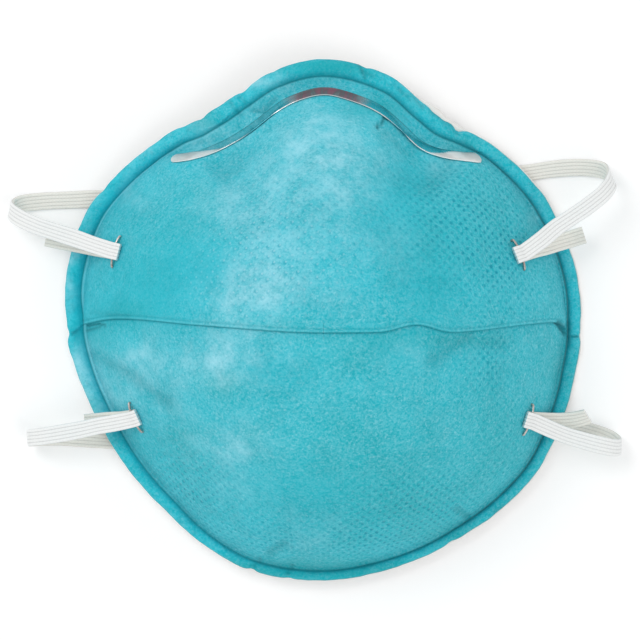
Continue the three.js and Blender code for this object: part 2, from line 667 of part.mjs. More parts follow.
function stapleHoles(anchor) {
  const frame = anchorFrame(anchor);
  const long = 9;
  const turn = new THREE.Quaternion().setFromUnitVectors(
    new THREE.Vector3(0, 1, 0),
    frame.up,
  );
  return [-1, 1].map((side) => {
    const along = side * (STAPLE_SPAN / 2 - STAPLE_WIRE / 2);
    const middle = frame.place(0, along, -1);
    const sides = 8;
    const vertices = [];
    for (const end of [-0.5, 0.5]) {
      for (let s = 0; s < sides; s += 1) {
        const angle = (2 * Math.PI * s) / sides;
        const corner = new THREE.Vector3(
          STAPLE_HOLE * Math.cos(angle),
          end * long,
          STAPLE_HOLE * Math.sin(angle),
        );
        vertices.push(corner.applyQuaternion(turn).add(middle));
      }
    }
    const triangles = [];
    for (let s = 0; s < sides; s += 1) {
      const next = (s + 1) % sides;
      triangles.push(s, sides + s, sides + next, s, sides + next, next);
      if (s > 0 && s < sides - 1) {
        triangles.push(0, s, s + 1, sides, sides + s + 1, sides + s);
      }
    }
    return solidGeometry(vertices, triangles);
  });
}

// The doubled-back stretch over a staple, from the tail to the run.
function endPoints(anchor) {
  const frame = anchorFrame(anchor);
  const list = [frame.place(END_RUN, 0, TAIL_HIGH), frame.place(0, 0, TAIL_HIGH)];
  for (const turn of [0, 45, 90, 135, 180]) {
    const far = TURN_OUT - TURN_RADIUS * Math.sin(degrees(turn));
    list.push(frame.place(far, 0, WIRE_HIGH - TURN_RADIUS * Math.cos(degrees(turn))));
  }
  list.push(frame.place(0, 0, TOP_HIGH), frame.place(END_RUN, 0, TOP_HIGH));
  return list.map((at) => ({ at, wide: frame.crown }));
}

function routePoint(row) {
  const lean = degrees(row.lean);
  const tip = degrees(row.tip);
  const wide = new THREE.Vector3(
    -Math.sin(lean) * Math.cos(tip),
    Math.cos(lean) * Math.cos(tip),
    Math.sin(tip),
  );
  return { at: new THREE.Vector3(row.x, row.y, row.z), wide };
}

function strapRoute(strap) {
  return [
    ...strap.leftTail.map(routePoint),
    ...endPoints(ANCHORS[strap.left]),
    ...strap.leftRun.map(routePoint),
    ...strap.rightRun.map(routePoint).reverse(),
    ...endPoints(ANCHORS[strap.right]).reverse(),
    ...strap.rightTail.map(routePoint).reverse(),
  ];
}

function strapBand(strap) {
  const route = strapRoute(strap);
  const points = route.map((point) => point.at);
  const wide = route.map((point) => point.wide);
  return band(sweep(points, wide, STRAP_STEPS, STRAP_WIDTH, STRAP_THICK));
}

// ---- assembly -----------------------------------------------------------------------------

const MATERIALS = {
  teal: new THREE.MeshStandardMaterial({ color: 0x3fb4c4, roughness: 0.92, metalness: 0 }),
  white: new THREE.MeshStandardMaterial({ color: 0xf1efe9, roughness: 0.9, metalness: 0 }),
  elastic: new THREE.MeshStandardMaterial({ color: 0xf4f5f2, roughness: 0.85, metalness: 0 }),
  aluminium: new THREE.MeshStandardMaterial({ color: 0xc6c7c6, roughness: 0.3, metalness: 1 }),
  steel: new THREE.MeshStandardMaterial({ color: 0x9a948e, roughness: 0.35, metalness: 1 }),
};

const respirator = new THREE.Group();

function addPiece(name, geometry, material) {
  geometry.computeVertexNormals();
  const piece = new THREE.Mesh(geometry, material);
  piece.name = name;
  respirator.add(piece);
}

const grid = cupGrid();
const holes = Object.values(ANCHORS).flatMap(stapleHoles).map(toManifold);
const pierced = (layer) =>
  fromManifold(holes.reduce((solid, hole) => solid.subtract(hole), toManifold(layer)));

const cover = cupLayer(grid, 0, COVER, {
  relief: (k, line, point) => RINGS[k].puff + foldStep(point.x, point.y, line.upper),
  edge: () => new THREE.Vector3(),
});
const liner = cupLayer(grid, COVER + GAP, WALL, {
  relief: () => 0,
  edge: linerEdge,
});

addPiece("outer_cover", pierced(cover), MATERIALS.teal);
addPiece("inner_shell", pierced(liner), MATERIALS.white);
addPiece("nose_clip", noseClip(), MATERIALS.aluminium);
for (const [name, strap] of Object.entries(STRAPS)) {
  addPiece(name, strapBand(strap), MATERIALS.elastic);
}
for (const [name, anchor] of Object.entries(ANCHORS)) {
  addPiece(`staple_${name}`, staple(anchor), MATERIALS.steel);
}

// The origin is the middle of the footprint, at the floor.
const bounds = new THREE.Box3().setFromObject(respirator);
const middle = bounds.getCenter(new THREE.Vector3());
for (const piece of respirator.children) {
  piece.geometry.translate(-middle.x, -middle.y, -bounds.min.z);
}

export default respirator;
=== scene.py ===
"""Looks of a moulded cup respirator lying rim down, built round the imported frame.

Lengths in the tables are millimetres about the middle of the cup, as in the CAD part. The
cup is a moulded sheet and the straps, clip and staples are bent through the air, so each is
drawn by moving the points of a primitive, ring by ring.
"""

import math

import bpy
import numpy as np
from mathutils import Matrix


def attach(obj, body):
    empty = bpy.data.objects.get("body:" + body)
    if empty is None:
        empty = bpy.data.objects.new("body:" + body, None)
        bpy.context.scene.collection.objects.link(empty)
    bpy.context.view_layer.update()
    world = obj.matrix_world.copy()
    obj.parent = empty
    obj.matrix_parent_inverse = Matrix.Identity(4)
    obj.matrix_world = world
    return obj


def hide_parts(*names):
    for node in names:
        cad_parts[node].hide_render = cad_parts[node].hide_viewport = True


MM = 0.001
CUP_MIDDLE = np.array([2.166, 0.125, 0.0])  # where the row's frame has the middle of the cup

# ---- the cup, as the CAD part has it ----------------------------------------------------

GAP = 0.3
COVER = 1.0
LINER = 1.0
WALL = COVER + GAP + LINER
CROWN = (0.0, -3.0, 52.0)
TOP_REACH, TOP_ROUND, TOP_SHEER = 60.0, 2.0, 1.25
TOP_BLEND = (0.25, 0.92)
SOFT_FOOT = 0.03
SHELF_SLOPE = 0.25

# degrees from +X, crown to rim edge, underside of rim above the floor, rim edge to groove,
# groove to wall foot, dome exponents from the crown and at the foot
DIRECTIONS = [
    (0, 63.6, 0, 3.2, 0.8, 1.95, 1.3), (18, 64.2, 0, 3.3, 0.8, 1.9, 1.3),
    (30, 64.1, 1.5, 3.5, 0.6, 1.8, 1.25), (40, 63.1, 3, 3.5, 0.2, 1.65, 1.3),
    (47, 62.3, 3.9, 3.5, 0, 1.55, 1.35), (54, 61.1, 4.9, 3.8, 1.2, 1.5, 1.3),
    (60, 60.2, 5.7, 4, 1.9, 1.5, 1.3), (67, 61.8, 6.6, 4.2, 2.3, 1.55, 1.3),
    (76, 65.3, 7.5, 4.2, 2, 1.65, 1.3), (90, 67.3, 8, 4.2, 2, 1.7, 1.35),
    (100, 65.8, 7.7, 4.2, 2.7, 1.65, 1.3), (108, 63.1, 7, 4.2, 3.5, 1.6, 1.3),
    (115, 61.4, 6.1, 4.2, 3.6, 1.5, 1.3), (121, 61, 5.4, 4.1, 2.9, 1.5, 1.3),
    (127, 62.1, 4.7, 4, 1.6, 1.5, 1.35), (133, 62.7, 4, 3.9, 0, 1.55, 1.35),
    (143, 64.2, 2.9, 3.9, 0.2, 1.7, 1.3), (154, 65.7, 1.7, 4, 0.6, 1.85, 1.3),
    (166, 65.2, 0, 4, 0.8, 1.95, 1.3), (180, 63.4, 0, 3.9, 0.8, 1.95, 1.3),
    (191, 61.3, 0, 3.8, 0.8, 1.95, 1.3), (201, 59.9, 1.6, 3.7, 0.7, 1.95, 1.3),
    (212, 59.1, 2.1, 3.5, 0.6, 1.95, 1.3), (226, 58.8, 2.5, 3.3, 0.6, 1.95, 1.35),
    (240, 60.2, 2.8, 3.2, 0.6, 1.95, 1.4), (254, 61.6, 3, 3.1, 0.6, 2, 1.45),
    (270, 61.4, 3, 3, 0.6, 2, 1.45), (287, 60.8, 2.9, 3, 0.6, 2, 1.45),
    (302, 60.9, 2.7, 3, 0.6, 1.95, 1.4), (317, 62.2, 2.4, 3.1, 0.6, 1.95, 1.35),
    (329, 63.1, 2.1, 3.1, 0.7, 1.95, 1.3), (340, 62.9, 1.6, 3.2, 0.8, 1.95, 1.3),
    (350, 62.9, 0, 3.2, 0.8, 1.95, 1.3),
]

# the lapped fold: across the cup, its height above the crown line
FOLD = [
    (-62, 0), (-59, 1.9), (-50, 3.4), (-30, 1.8), (0, 0), (13, 0.1), (22.5, 1.9), (31, 0.1),
    (48, 1.8), (56.5, 2.5), (62, 0),
]
FOLD_PROUD = 0.9
FOLD_SUNK = 0.15
FOLD_SPREAD = 9.0
FOLD_PULL = 7.0
LINER_SHOWS = 0.35  # how far the liner's edge stands out on the right
# degrees, how far the liner's edge stands out beside the notch in the nose rim
TONGUE = [
    (54.6, 0), (56.6, 1), (58.6, 0.6), (60.6, 0.85), (62.9, 1.4), (65.1, 1.25), (67.4, 0.2),
    (69, 0),
]

# ---- finer shape of the cover -----------------------------------------------------------

COVER_STEP, LINER_STEP = 0.8, 2.5  # degrees between their lines
LEAST_STEP = 0.03  # stops on a line are never closer
NORMAL_STEP = 0.4  # slopes of the face are taken over this distance
LIP_ROOM = (1.0, 0.1)  # what the shelf's stops leave for the lip, and the least that they keep
LIP_SPREAD = (0.4, 1.2)  # the lip closes up where the shelf and the first are less than the second
LIP_DEEP, LINE_FROM = 0.34, 0.05  # the lip's deepest row, and where the painted shade line begins
GROOVE_SHADE_REACH, LINE_REACH, BAND_REACH = 0.3, 0.05, 0.6  # shares of the rim that they cover
WELL_REACH = 1.6  # how far the shade spreads up the wall's foot
BROWN_EDGE = (0.9, 0.97)
GROOVE_SHARE = 0.1  # share of the rim that belongs to the groove
CROWN_DIP = (0.0, 0.05, -0.13)  # the last point of the cover, under the lap
UNDER_INSET = 0.12  # the underside's edge lies this far in
LINER_HIDDEN = 0.25  # and the liner's this far, where it doesn't show
CLOUD_STRAY = 1.6  # how far the paler clouds stray from their ovals

# The lap in section, from under the lip outward: place when flat, place when lapped, height.
LAP_ABOVE = [
    (0.08, 0.06, -0.06), (0.18, -0.04, 0.08), (0.3, -0.13, 0.26), (0.44, -0.13, 0.48),
    (0.58, -0.02, 0.66), (0.72, 0.16, 0.78), (0.86, 0.34, 0.8), (1, 0.5, 0.77),
    (1.12, 0.62, 0.68), (1.24, 0.72, 0.67), (1.38, 0.86, 0.79), (1.58, 1.14, 0.92),
    (1.9, 1.6, 0.96), (2.3, 2.2, 0.92),
]
LAP_BELOW = [
    (-0.1, 0.04, -0.12), (-0.28, -0.16, -0.12), (-0.5, -0.42, -0.11), (-0.8, -0.76, -0.12),
    (-1.15, -1.13, -0.14), (-1.6, -1.6, -0.15),
]
LAP_REACH = (57.5, 61.5)  # from the middle outward the lap flattens out between these
HEM_HIGHLIGHT_LINES = [(0.26, 0.13, 1)]  # a painted highlight along the ridge of the turned-in hem: place, half width, strength
FOLD_SHADOW_LINES = [(-0.16, 0.2, 1), (0.78, 0.3, 0.3)]  # painted shadow lines beside it, under the lip and in the crease above
LAP_EASE = 12.0  # lines beside the lap fall back to their even spacing over this distance

# Puffed rim in section: share of the way from groove to edge, height over the flat rim.
RIM_SECTION = [
    (0, -0.42), (0.03, -0.36), (0.07, -0.16), (0.12, 0.04), (0.2, 0.3), (0.32, 0.5), (0.46, 0.58),
    (0.6, 0.56), (0.72, 0.46), (0.82, 0.3), (0.9, 0.08), (0.95, -0.14), (0.985, -0.38), (1, -0.6),
]
RIM_CREST = 0.58
RIM_DEGREE = 1.07  # mm of rim for each degree
# degrees, how much of the puff, how far the groove lies outward of the flat part's, how much
# of the groove's depth, how much painted shade lies in it, how brown the very edge is
RIM_PUFF = [
    (0, 0.9, 0, 1, 0.95, 0.8), (40, 1.1, 0, 0.9, 0.9, 0.3), (58, 1.5, 0, 0.8, 0.7, 0.1),
    (90, 1.5, 0, 0.7, 0.5, 0.1), (122, 1.4, 0, 0.7, 0.5, 0.1), (145, 1, 0, 0.6, 0.3, 0.1),
    (176, 1, 0, 0.5, 0.25, 0.1), (200, 1, 0, 0.5, 0.3, 0.2), (228, 0.9, 0.2, 0.6, 0.4, 0.3),
    (250, 0.8, 0.6, 0.8, 0.6, 0.6), (290, 0.8, 0.6, 0.9, 0.75, 0.8),
    (320, 0.9, 0.3, 1, 0.95, 0.8),
]
# degrees, how dark the painted shade line in the groove is, the painted shade beside it on the rim,
# the painted highlight line inside it, the painted shade at the foot of the wall
RIM_LINES = [
    (0, 0.45, 0.35, 0, 0.6), (40, 0.65, 0.3, 0.1, 0.4), (60, 0.75, 0.35, 0.15, 0.4),
    (90, 0.8, 0.45, 0.15, 0.3), (122, 0.75, 0.55, 0.6, 0.25), (145, 0.6, 0.75, 1, 0.1),
    (180, 0.65, 0.8, 0.9, 0.1), (200, 0.65, 0.65, 0.6, 0.3), (225, 0.65, 0.55, 0.2, 0.55),
    (250, 0.5, 0.45, 0, 0.5), (290, 0.4, 0.45, 0, 0.45), (330, 0.35, 0.4, 0, 0.6),
    (350, 0.35, 0.5, 0, 0.95),
]
# Cloth beside the groove: mm inside it, height, how much of the painted highlight line
GROOVE_LIP = [
    (0.9, 0.02, 0.2), (0.55, 0.06, 1), (0.3, -0.1, 0.7), (0.12, -0.34, 0),
]

# Where the rim is pinched: degrees, width in degrees, edge drawn in, crest pressed down.
PINCHES = [
    (80.9, 0.9, 0.35, 0.45), (100.8, 1.1, 0.3, 0.25), (108.3, 1.3, 0.55, 0.4),
    (119.6, 1.2, 0.5, 0.35), (124.4, 1.1, 0.25, 0.3), (131, 1.6, 0.1, 0.15),
    (56.4, 1.3, 1.2, 0.6), (60.5, 0.8, 0.1, 0.3), (63.6, 0.8, 0.2, 0.3), (66.8, 0.8, 0.1, 0.25),
    (147, 1.3, 0.25, 0.2), (180.4, 1.2, 0.45, 0.45), (186.5, 1.6, 0.2, 0.15),
    (203, 1.6, 0.25, 0.15), (359.2, 0.9, 0.35, 0.4), (253.3, 1, 0.55, 0.5),
    (262.1, 0.9, 0.3, 0.4), (301.2, 1.4, 0.35, 0.15), (332, 1.8, 0.15, 0.1),
]

# Creases and dents in the cover: from x, y, to x, y, half width, depth (below 0 is a ridge),
# how much painted shade lies in the fold of cloth.
CREASES = [
    (-17.6, 51.7, -14.6, 51.3, 0.5, 0.35, 0.5), (-14.3, 51.9, -11.6, 54.5, 0.6, 0.4, 0.45),
    (13.2, 47.4, 15, 49.2, 0.45, 0.6, 1), (15, 49.2, 14.4, 50.2, 0.3, 0.35, 0.9),
    (15, 49.2, 16, 49.8, 0.3, 0.35, 0.8), (16, 47, 21, 42, 2.4, 0.45, 0.15),
    (-58.5, -1.5, -55.5, -1, 0.32, 0.4, 0.75), (-55.5, -1, -53.7, -1.3, 0.35, 0.35, 0.75),
    (-58.7, -2.6, -55.1, -1.9, 0.38, 0.35, 0.6), (-56.3, 1.9, -47.5, 0.9, 0.7, 0.25, 0.2),
    (-62.3, -3.5, -59.9, -2.3, 0.45, 0.45, 0.5), (-60.8, -4.4, -59.7, -3, 0.9, 0.2, 0.35),
    (-56.2, -8.6, -47.5, -13.6, 1.6, 0.3, 0.3), (-47.5, -13.6, -38.1, -20.2, 1.7, 0.32, 0.35),
    (-42.8, -9.9, -30.5, -17.3, 2.6, -0.35, 0), (35.4, -4.2, 31.5, -6.7, 1.7, 0.45, 0.3),
    (31.5, -6.7, 26.5, -10.2, 2, 0.4, 0.25), (28.8, -5.4, 43.6, -5.6, 1.8, 0.25, 0.2),
    (21.5, -4.6, 24, -7.4, 2.6, -0.3, 0), (57.4, -0.5, 59.3, -2.3, 0.55, 0.6, 1),
    (58.6, -1.9, 59.7, -3.4, 0.45, 0.5, 1), (60.5, -1, 60.6, -6.2, 0.6, 0.2, 0.55),
    (60.4, -4.05, 63, -4.15, 0.35, 0.45, 0.85), (-13.2, -57.4, -9.8, -55.2, 1.2, 0.5, 0.4),
    (-17.4, -60.9, -15.7, -59.3, 0.5, 0.4, 0.5), (-8.8, -62.6, -7.6, -60.9, 0.5, 0.4, 0.5),
    (32.8, -46.6, 35.4, -48.4, 0.8, 0.35, 0.4), (42.4, -47.4, 44.2, -46.2, 0.7, 0.3, 0.4),
    (8.6, 63.8, 10.2, 59.6, 0.45, 0.5, 0.7), (9.8, 61.2, 12.4, 59.8, 0.6, 0.3, 0.4),
    (27, 51.6, 33.2, 46.6, 0.9, 0.45, 0.4), (18.2, 57.2, 21.2, 54.4, 0.45, 0.25, 0.35),
    (21.4, 55.6, 24.2, 52.6, 0.45, 0.25, 0.35), (-23.2, 53.8, -20.4, 50.6, 0.5, 0.35, 0.45),
    (-20.6, 55.2, -18.2, 52.6, 0.45, 0.3, 0.35), (-38, 41.5, -30, 44.2, 0.7, 0.25, 0.2),
    (-24, 36, -18, 40.5, 2.6, 0.3, 0.15), (26, 33, 30.5, 38, 3, 0.35, 0.2),
]
DEEPEST = 0.85  # no dent goes deeper than this into the cloth
# Unevenness of the cloth and of the rim: height, seed, length, and for the cloth how many waves
SWELLS = [(0.16, 5, 26, 9), (0.06, 11, 9, 9), (0.025, 17, 3.4, 14)]
RIM_FLUTTER = [(0.12, 23, 7), (0.06, 29, 2.6)]
RIM_WANDER = [(0.05, 31, 6), (0.03, 37, 2.675)]
MOST_OUTWARD = 0.15  # most that the rim's edge wanders out

# Cloth puffed out above the nose clip: x, y, half width, half height, height.
PUFFS = [
    (-25, 47, 5, 2.4, 0.5), (-13, 55.2, 6, 2, 0.5), (0, 60, 7, 1.6, 0.45),
    (12.5, 56.6, 5, 2, 0.5), (23, 49.5, 4.5, 2.6, 0.6), (31, 44.6, 4.5, 2.2, 0.4),
]

# Paler clouds where the dye took less: x, y, half width, half height, strength.
CLOUDS = [
    (-45, -9.5, 4.5, 5, 0.8), (-33, -12, 7, 5, 0.5), (-48, -20, 5, 6, 0.3), (-25, -9, 6, 5, 0.8),
    (-22, -31, 7, 5, 0.65), (-35, -22, 4, 3, 0.25), (-12, -10, 7, 3.5, 0.25), (30, 38, 4, 4, 0.3),
    (-47, 32, 4, 4, 0.3), (18, 17, 4, 5, 0.2), (53, 26, 3, 4, 0.25), (-23, 27, 6, 5, 0.5),
    (-12, 17, 9, 9, 0.47), (-18.5, 6.5, 7.5, 7.5, 0.85), (-8, 7, 6, 6, 0.25),
    (-13, 32, 6, 7, 0.4), (-1, 41, 11, 9, 0.85), (4, 31, 7, 5, 0.35), (14, 37, 5, 4, 0.15),
    (4, 20, 10, 7, 0.25), (1, 7, 7, 5, 0.15), (-23, -42, 6, 4, 0.3), (-3, -52, 6, 4, 0.2),
    (19, -8.5, 6, 3.5, 0.25), (-59.5, -13, 3, 8, 0.75), (-55, -20, 3, 7, 0.5),
    (-64, 14, 1.6, 9, 0.8), (-61, 27, 2.6, 7, 0.65), (-49, 42, 6, 3, 0.55),
    (-15, 59, 6, 2.2, 0.5), (-29, 45.5, 7, 2, 0.4), (24, 54, 4, 2, 0.35), (61.5, 20, 2, 5, 0.3),
]

# Where the dye is clearest, with no pale fibres over it: x, y, half width, half height, strength.
VIVID = [
    (-46, 9, 13, 10, 0.9), (-50, 30, 8, 10, 0.7), (-34, 14, 7, 14, 0.6), (14, 24, 9, 11, 0.45),
    (25, 16, 10, 14, 0.55), (21, 35, 7, 8, 0.7), (-61, 4, 3, 16, 0.9), (2, 62.5, 14, 2.6, 0.9),
    (-2, -42, 18, 8, 0.6), (-10, -13, 9, 6, 0.5), (16, -7, 12, 6, 0.5), (-44, -30, 6, 8, 0.4),
    (0, -62, 40, 2.6, 0.6), (-50, 2, 12, 4, 0.7), (-56, -4, 5, 4, 0.7), (-26, 13, 6, 6, 0.6),
    (26, 6, 8, 8, 0.5), (14, 52, 12, 4, 0.8),
]

# Fuller dye in places, and painted shade under the lap, on the lower right and on the bottom rim:
# x, y, half width, half height, strength.
FULLER_DYE_AND_SHADE = [
    (10, -36, 50, 26, 0.4), (44, 8, 22, 34, 0.3), (-2, -61.5, 40, 3, 1), (33, -53, 12, 3, 0.5),
    (36, -4.5, 9, 2.2, 0.45), (-36, -2, 24, 1.8, 0.25), (12, -3.8, 16, 1.8, 0.25),
    (28, 22, 12, 12, 0.3), (36, 38, 9, 6, 0.3), (-34, 24, 12, 10, 0.3), (-8, -1.5, 10, 3, 0.3),
    (-44, 12, 8, 10, 0.35), (18, -42, 20, 8, 0.25), (44, -30, 10, 14, 0.5), (8, -28, 14, 8, 0.3),
    (0, 63, 26, 2.2, 0.5), (-36, 53, 8, 3, 0.45), (-57, -24, 3, 9, 0.3), (3, 61, 9, 2.5, 0.5),
    (-30, 49, 4, 3, 0.6), (14, 52, 9, 3, 0.6), (14, -5, 22, 4, 0.3), (-27, -14, 5, 4, 0.35),
    (-34, -33, 8, 8, 0.25), (24, -47, 14, 8, 0.3), (6, -54, 10, 5, 0.3), (33, 43, 5, 3, 0.6),
    (42, 27, 6, 5, 0.3), (-30, 32, 4, 4, 0.3), (-12, 8, 4, 4, 0.25), (-47, 2, 8, 3, 0.45),
    (-56, -4, 4, 3, 0.5), (-24, -16, 4, 3, 0.65), (-35, -28, 5, 3, 0.35), (-17, -27, 3, 2.5, 0.4),
    (6, -10, 9, 3.5, 0.4), (59, -12, 4, 7, 0.7),
]

# Where the bond points of the web show: x, y, half width, half height, strength.
BOND_FIELDS = [
    (-14, 18, 15, 22, 0.5), (4, 24, 16, 18, 0.25), (34, 26, 16, 17, 0.9), (44, 12, 10, 14, 0.7),
    (-33, -42, 15, 12, 0.85), (-12, -54, 14, 6, 0.6), (24, -46, 18, 11, 0.9),
    (44, -30, 8, 12, 0.5), (40, -10, 7, 8, 0.75), (12, -54, 12, 6, 0.7),
]

# Where the web lies in faint ridges: x, y, half width, half height, strength.
RIDGE_FIELDS = [
    (-38, -34, 11, 11, 1), (-26, -48, 8, 6, 0.5), (24, -48, 12, 7, 0.4),
]

# Where the bond points catch the light.
GLINT_FIELDS = [
    (-14, 18, 15, 20, 0.6), (-24, 6, 10, 10, 0.3), (2, 12, 14, 14, 0.25), (-36, -38, 14, 12, 0.3),
    (24, -48, 16, 8, 0.25),
]

# ---- clip, staples and straps, as the CAD part has them ---------------------------------

# lower edge x, y, and the plan direction from it to the upper edge
CLIP = [
    (-36.9, 38.25, 110), (-31, 39.1, 113), (-24, 41.7, 118), (-17.6, 45.5, 122),
    (-11.6, 50.1, 118), (-5.7, 53.3, 104), (0.5, 54.6, 90), (6.7, 53.1, 78), (13.2, 50.2, 66),
    (18.1, 46.4, 60), (22.5, 42.1, 60), (27.4, 39.8, 66), (32.7, 38.9, 69), (38.1, 38.5, 70),
]
CLIP_WIDTH = 5.0
CLIP_SEAT = 0.55
# The strip is glued down and rolled thin, so it looks closer than the part's clear seat.
CLIP_PRESSED = 0.4
CLIP_GAUGE = 0.32
CLIP_SQUARE = 0.75  # 1 for round ends, less for squarer ones
CLIP_SKEW = 0.22  # how far the ends' upper corners stand out, for each mm of width
CLIP_CORNER = 0.12
# x, degrees that the strip's upper edge sinks into the cloth
CLIP_TIP = [
    (-38, 9), (-30, 9), (-22, 9), (-12, 10), (0, 9), (12, 10), (22, 11), (31, 8), (38, 5),
]
# x, how strong the painted highlight on the strip's lower edge is
CLIP_GLEAM = [
    (-38, 0.9), (-24, 0.75), (-20, 0.5), (-18, 0.02), (-13, 0.05), (-11.7, 0.95), (0, 0.75),
    (15.2, 0.95), (16.6, 0.2), (20.5, 0.05), (22.2, 0.9), (38, 0.95),
]
BED_CLEAR = 0.1  # between the strip and the cloth that it presses down
BED_SIDE = 1.6  # how steeply the cloth rises beside the strip
BED_DEEP = 0.8
BED_RAISED = 0.7  # most that the cloth comes up to meet the strip
BED_FALL = 2.6  # how far below the strip the raised cloth falls back

STRAP_WIDTH = 4.3
STRAP_THICK = 0.9
STRAP_RIBS = 5
RIB_DEEP = 0.1
PICK = 0.85  # length of a stitch of the braid

STAPLE_SPAN = 8.4
STAPLE_WIRE = 0.6
STAPLE_SEAT = 0.45
STAPLE_LEG = 2.75
STAPLE_CLINCH = 2.2
STAPLE_BEND = 0.5

# x, y, lean in degrees, side
ANCHORS = {
    "upper_left": (-50.8, 16.7, -12.6, -1),
    "upper_right": (47.7, 15.9, 17.3, 1),
    "lower_left": (-46.0, -23.9, 16.5, -1),
    "lower_right": (50.1, -24.5, -14.2, 1),
}
# The wire squeezes the elastic flat, so the fold over it is lower than the part's clear one.
PINCHED_THICK = 0.45
PINCH_RUN = (2.5, 7.0)  # the squeeze eases off between these distances from the wire
TAIL_HIGH = 0.32
WIRE_HIGH = 0.9
TOP_HIGH = 1.48
TURN_RADIUS = (TOP_HIGH - TAIL_HIGH) / 2
TURN_OUT = -1.5
END_RUN = 0.5

# x, y, z, lean of the width in plan and its tip, if any; tails from the cut end, runs from
# the staple
STRAPS = {
    "upper_strap": {
        "left": "upper_left",
        "right": "upper_right",
        "left_tail": [
            (-68.6, 20.3, 4.6, -11), (-64.5, 19.45, 4.2, -11), (-60.4, 18.65, 4.6, -11),
            (-57.3, 18.05, 6.6, -12), (-54.9, 17.55, 10.4, -12),
        ],
        "left_run": [
            (-56.7, 18.5, 13.3, -16), (-61, 20, 11.5, -19), (-66, 21.6, 10.8, -20),
            (-71, 23.3, 10.3, -20), (-75.4, 25.4, 8.6, -17), (-77.2, 27.2, 5.2, -12),
            (-75.2, 28.6, 1.8, -6), (-70.3, 29.3, 0.45, -3), (-60, 29.8, 0.45, 0),
            (-48, 30.6, 0.45, 4), (-24, 32.6, 0.45, 5),
        ],
        "right_run": [
            (53.6, 19.7, 16.8, 28), (57.2, 22.7, 14.6, 32), (61.4, 25.5, 13.4, 32),
            (65.6, 28.4, 12.6, 34), (69.4, 31.6, 10.8, 35), (71.1, 34.6, 6.8, 26),
            (69.2, 36.9, 2.3, 10), (64.4, 37.7, 0.5, -2), (57.6, 37.4, 0.45, -6),
            (49, 36.2, 0.45, -8), (26, 34.2, 0.45, -4),
        ],
        "right_tail": [
            (64.4, 21, 5, 17), (60.6, 19.8, 5, 17), (57.5, 18.9, 6.8, 17),
            (54.6, 18, 10.2, 17), (51.7, 17.2, 14.4, 17),
        ],
    },
    "lower_strap": {
        "left": "lower_left",
        "right": "lower_right",
        "left_tail": [
            (-59, -25.4, 6.1, 5), (-56.6, -25.2, 5.7, 6), (-53.9, -24.9, 6, 8),
            (-51.5, -24.7, 7.6, 11), (-49.5, -24.6, 10.9, 14),
        ],
        "left_run": [
            (-51.6, -25.4, 12.5, 14), (-55.5, -26.1, 10.4, 13), (-60.5, -27.2, 9.2, 12),
            (-65.5, -28.1, 8.7, 9), (-69.9, -28.8, 7.8, 6), (-72.6, -29.1, 5.6, 3),
            (-72.5, -29.2, 2.9, 1), (-69.8, -29.1, 0.8, -1), (-64.6, -29.1, 0.45, -3),
            (-56, -29.6, 0.45, -5), (-45, -30.2, 0.45, -3), (-23, -30.2, 0.45, 3),
        ],
        "right_run": [
            (55.9, -26.9, 11.5, -17), (59.6, -28.4, 10, -18), (64.2, -29.8, 9.3, -16),
            (68.8, -31, 8.8, -13), (72.2, -31.6, 6.9, -8), (73.3, -31.1, 4, 0),
            (71.7, -29.8, 1.4, 9), (67.4, -28, 0.5, 16), (61, -26.5, 0.45, 11),
            (50, -25.4, 0.45, 2), (25, -27, 0.45, -4),
        ],
        "right_tail": [
            (65.2, -23.7, 8, -2, 38), (62.2, -24.6, 6.6, -4, 22), (58.8, -25, 6, -6, 6),
            (56.2, -25, 6.9, -9), (53.8, -24.9, 9.6, -13),
        ],
    },
}


# ---- smooth tables ----------------------------------------------------------------------


def read_table(rows, column, value, period=None):
    """A column between rows sorted by their first column, as monotone cubics."""
    rows = np.asarray(rows, float)
    place, height = rows[:, 0], rows[:, column]
    value = np.asarray(value, float)
    if period:
        place = np.concatenate([place[-2:] - period, place, place[:2] + period])
        height = np.concatenate([height[-2:], height, height[:2]])
        value = value % period
    else:
        value = np.clip(value, place[0], place[-1])
    rise = np.diff(height) / np.diff(place)
    both = rise[:-1] * rise[1:]
    total = np.where(both > 0, rise[:-1] + rise[1:], 1)
    slope = np.zeros(len(place))
    slope[1:-1] = np.where(both > 0, 2 * both / total, 0)
    low = np.clip(np.searchsorted(place, value, side="right") - 1, 0, len(place) - 2)
    width = place[low + 1] - place[low]
    t = (value - place[low]) / width
    even = t * t * (3 - 2 * t)
    bent = t * (1 - t) ** 2 * slope[low] - t * t * (1 - t) * slope[low + 1]
    return height[low] + (height[low + 1] - height[low]) * even + bent * width


def around(rows, column, at):
    return read_table(rows, column, at, 360)


def smoothstep(value, low, high):
    t = np.clip((value - low) / (high - low), 0, 1)
    return t * t * (3 - 2 * t)


def bearing(x, y):
    """Direction of points from the crown, in degrees."""
    return np.degrees(np.arctan2(y - CROWN[1], x - CROWN[0])) % 360


def heading(at):
    """Unit steps along x and y in each direction."""
    return np.stack([np.cos(np.radians(at)), np.sin(np.radians(at))], axis=-1)


def direction(at):
    """The cup's marks and exponents in each direction."""
    reach, lift, flange, shelf, rounded, sheer = (around(DIRECTIONS, k, at) for k in range(1, 7))
    groove = reach - flange + around(RIM_PUFF, 2, at)
    return {
        "crown": 0 * reach,
        "reach": reach,
        "lift": lift,
        "groove": groove,
        "foot": groove - shelf,
        "round": rounded,
        "sheer": sheer,
    }


def dome_share(rounded, sheer, rho):
    def full(r):
        return (1 - np.clip(r, 0, 1) ** rounded + SOFT_FOOT) ** (1 / sheer)

    return (full(rho) - full(1)) / (full(0) - full(1))


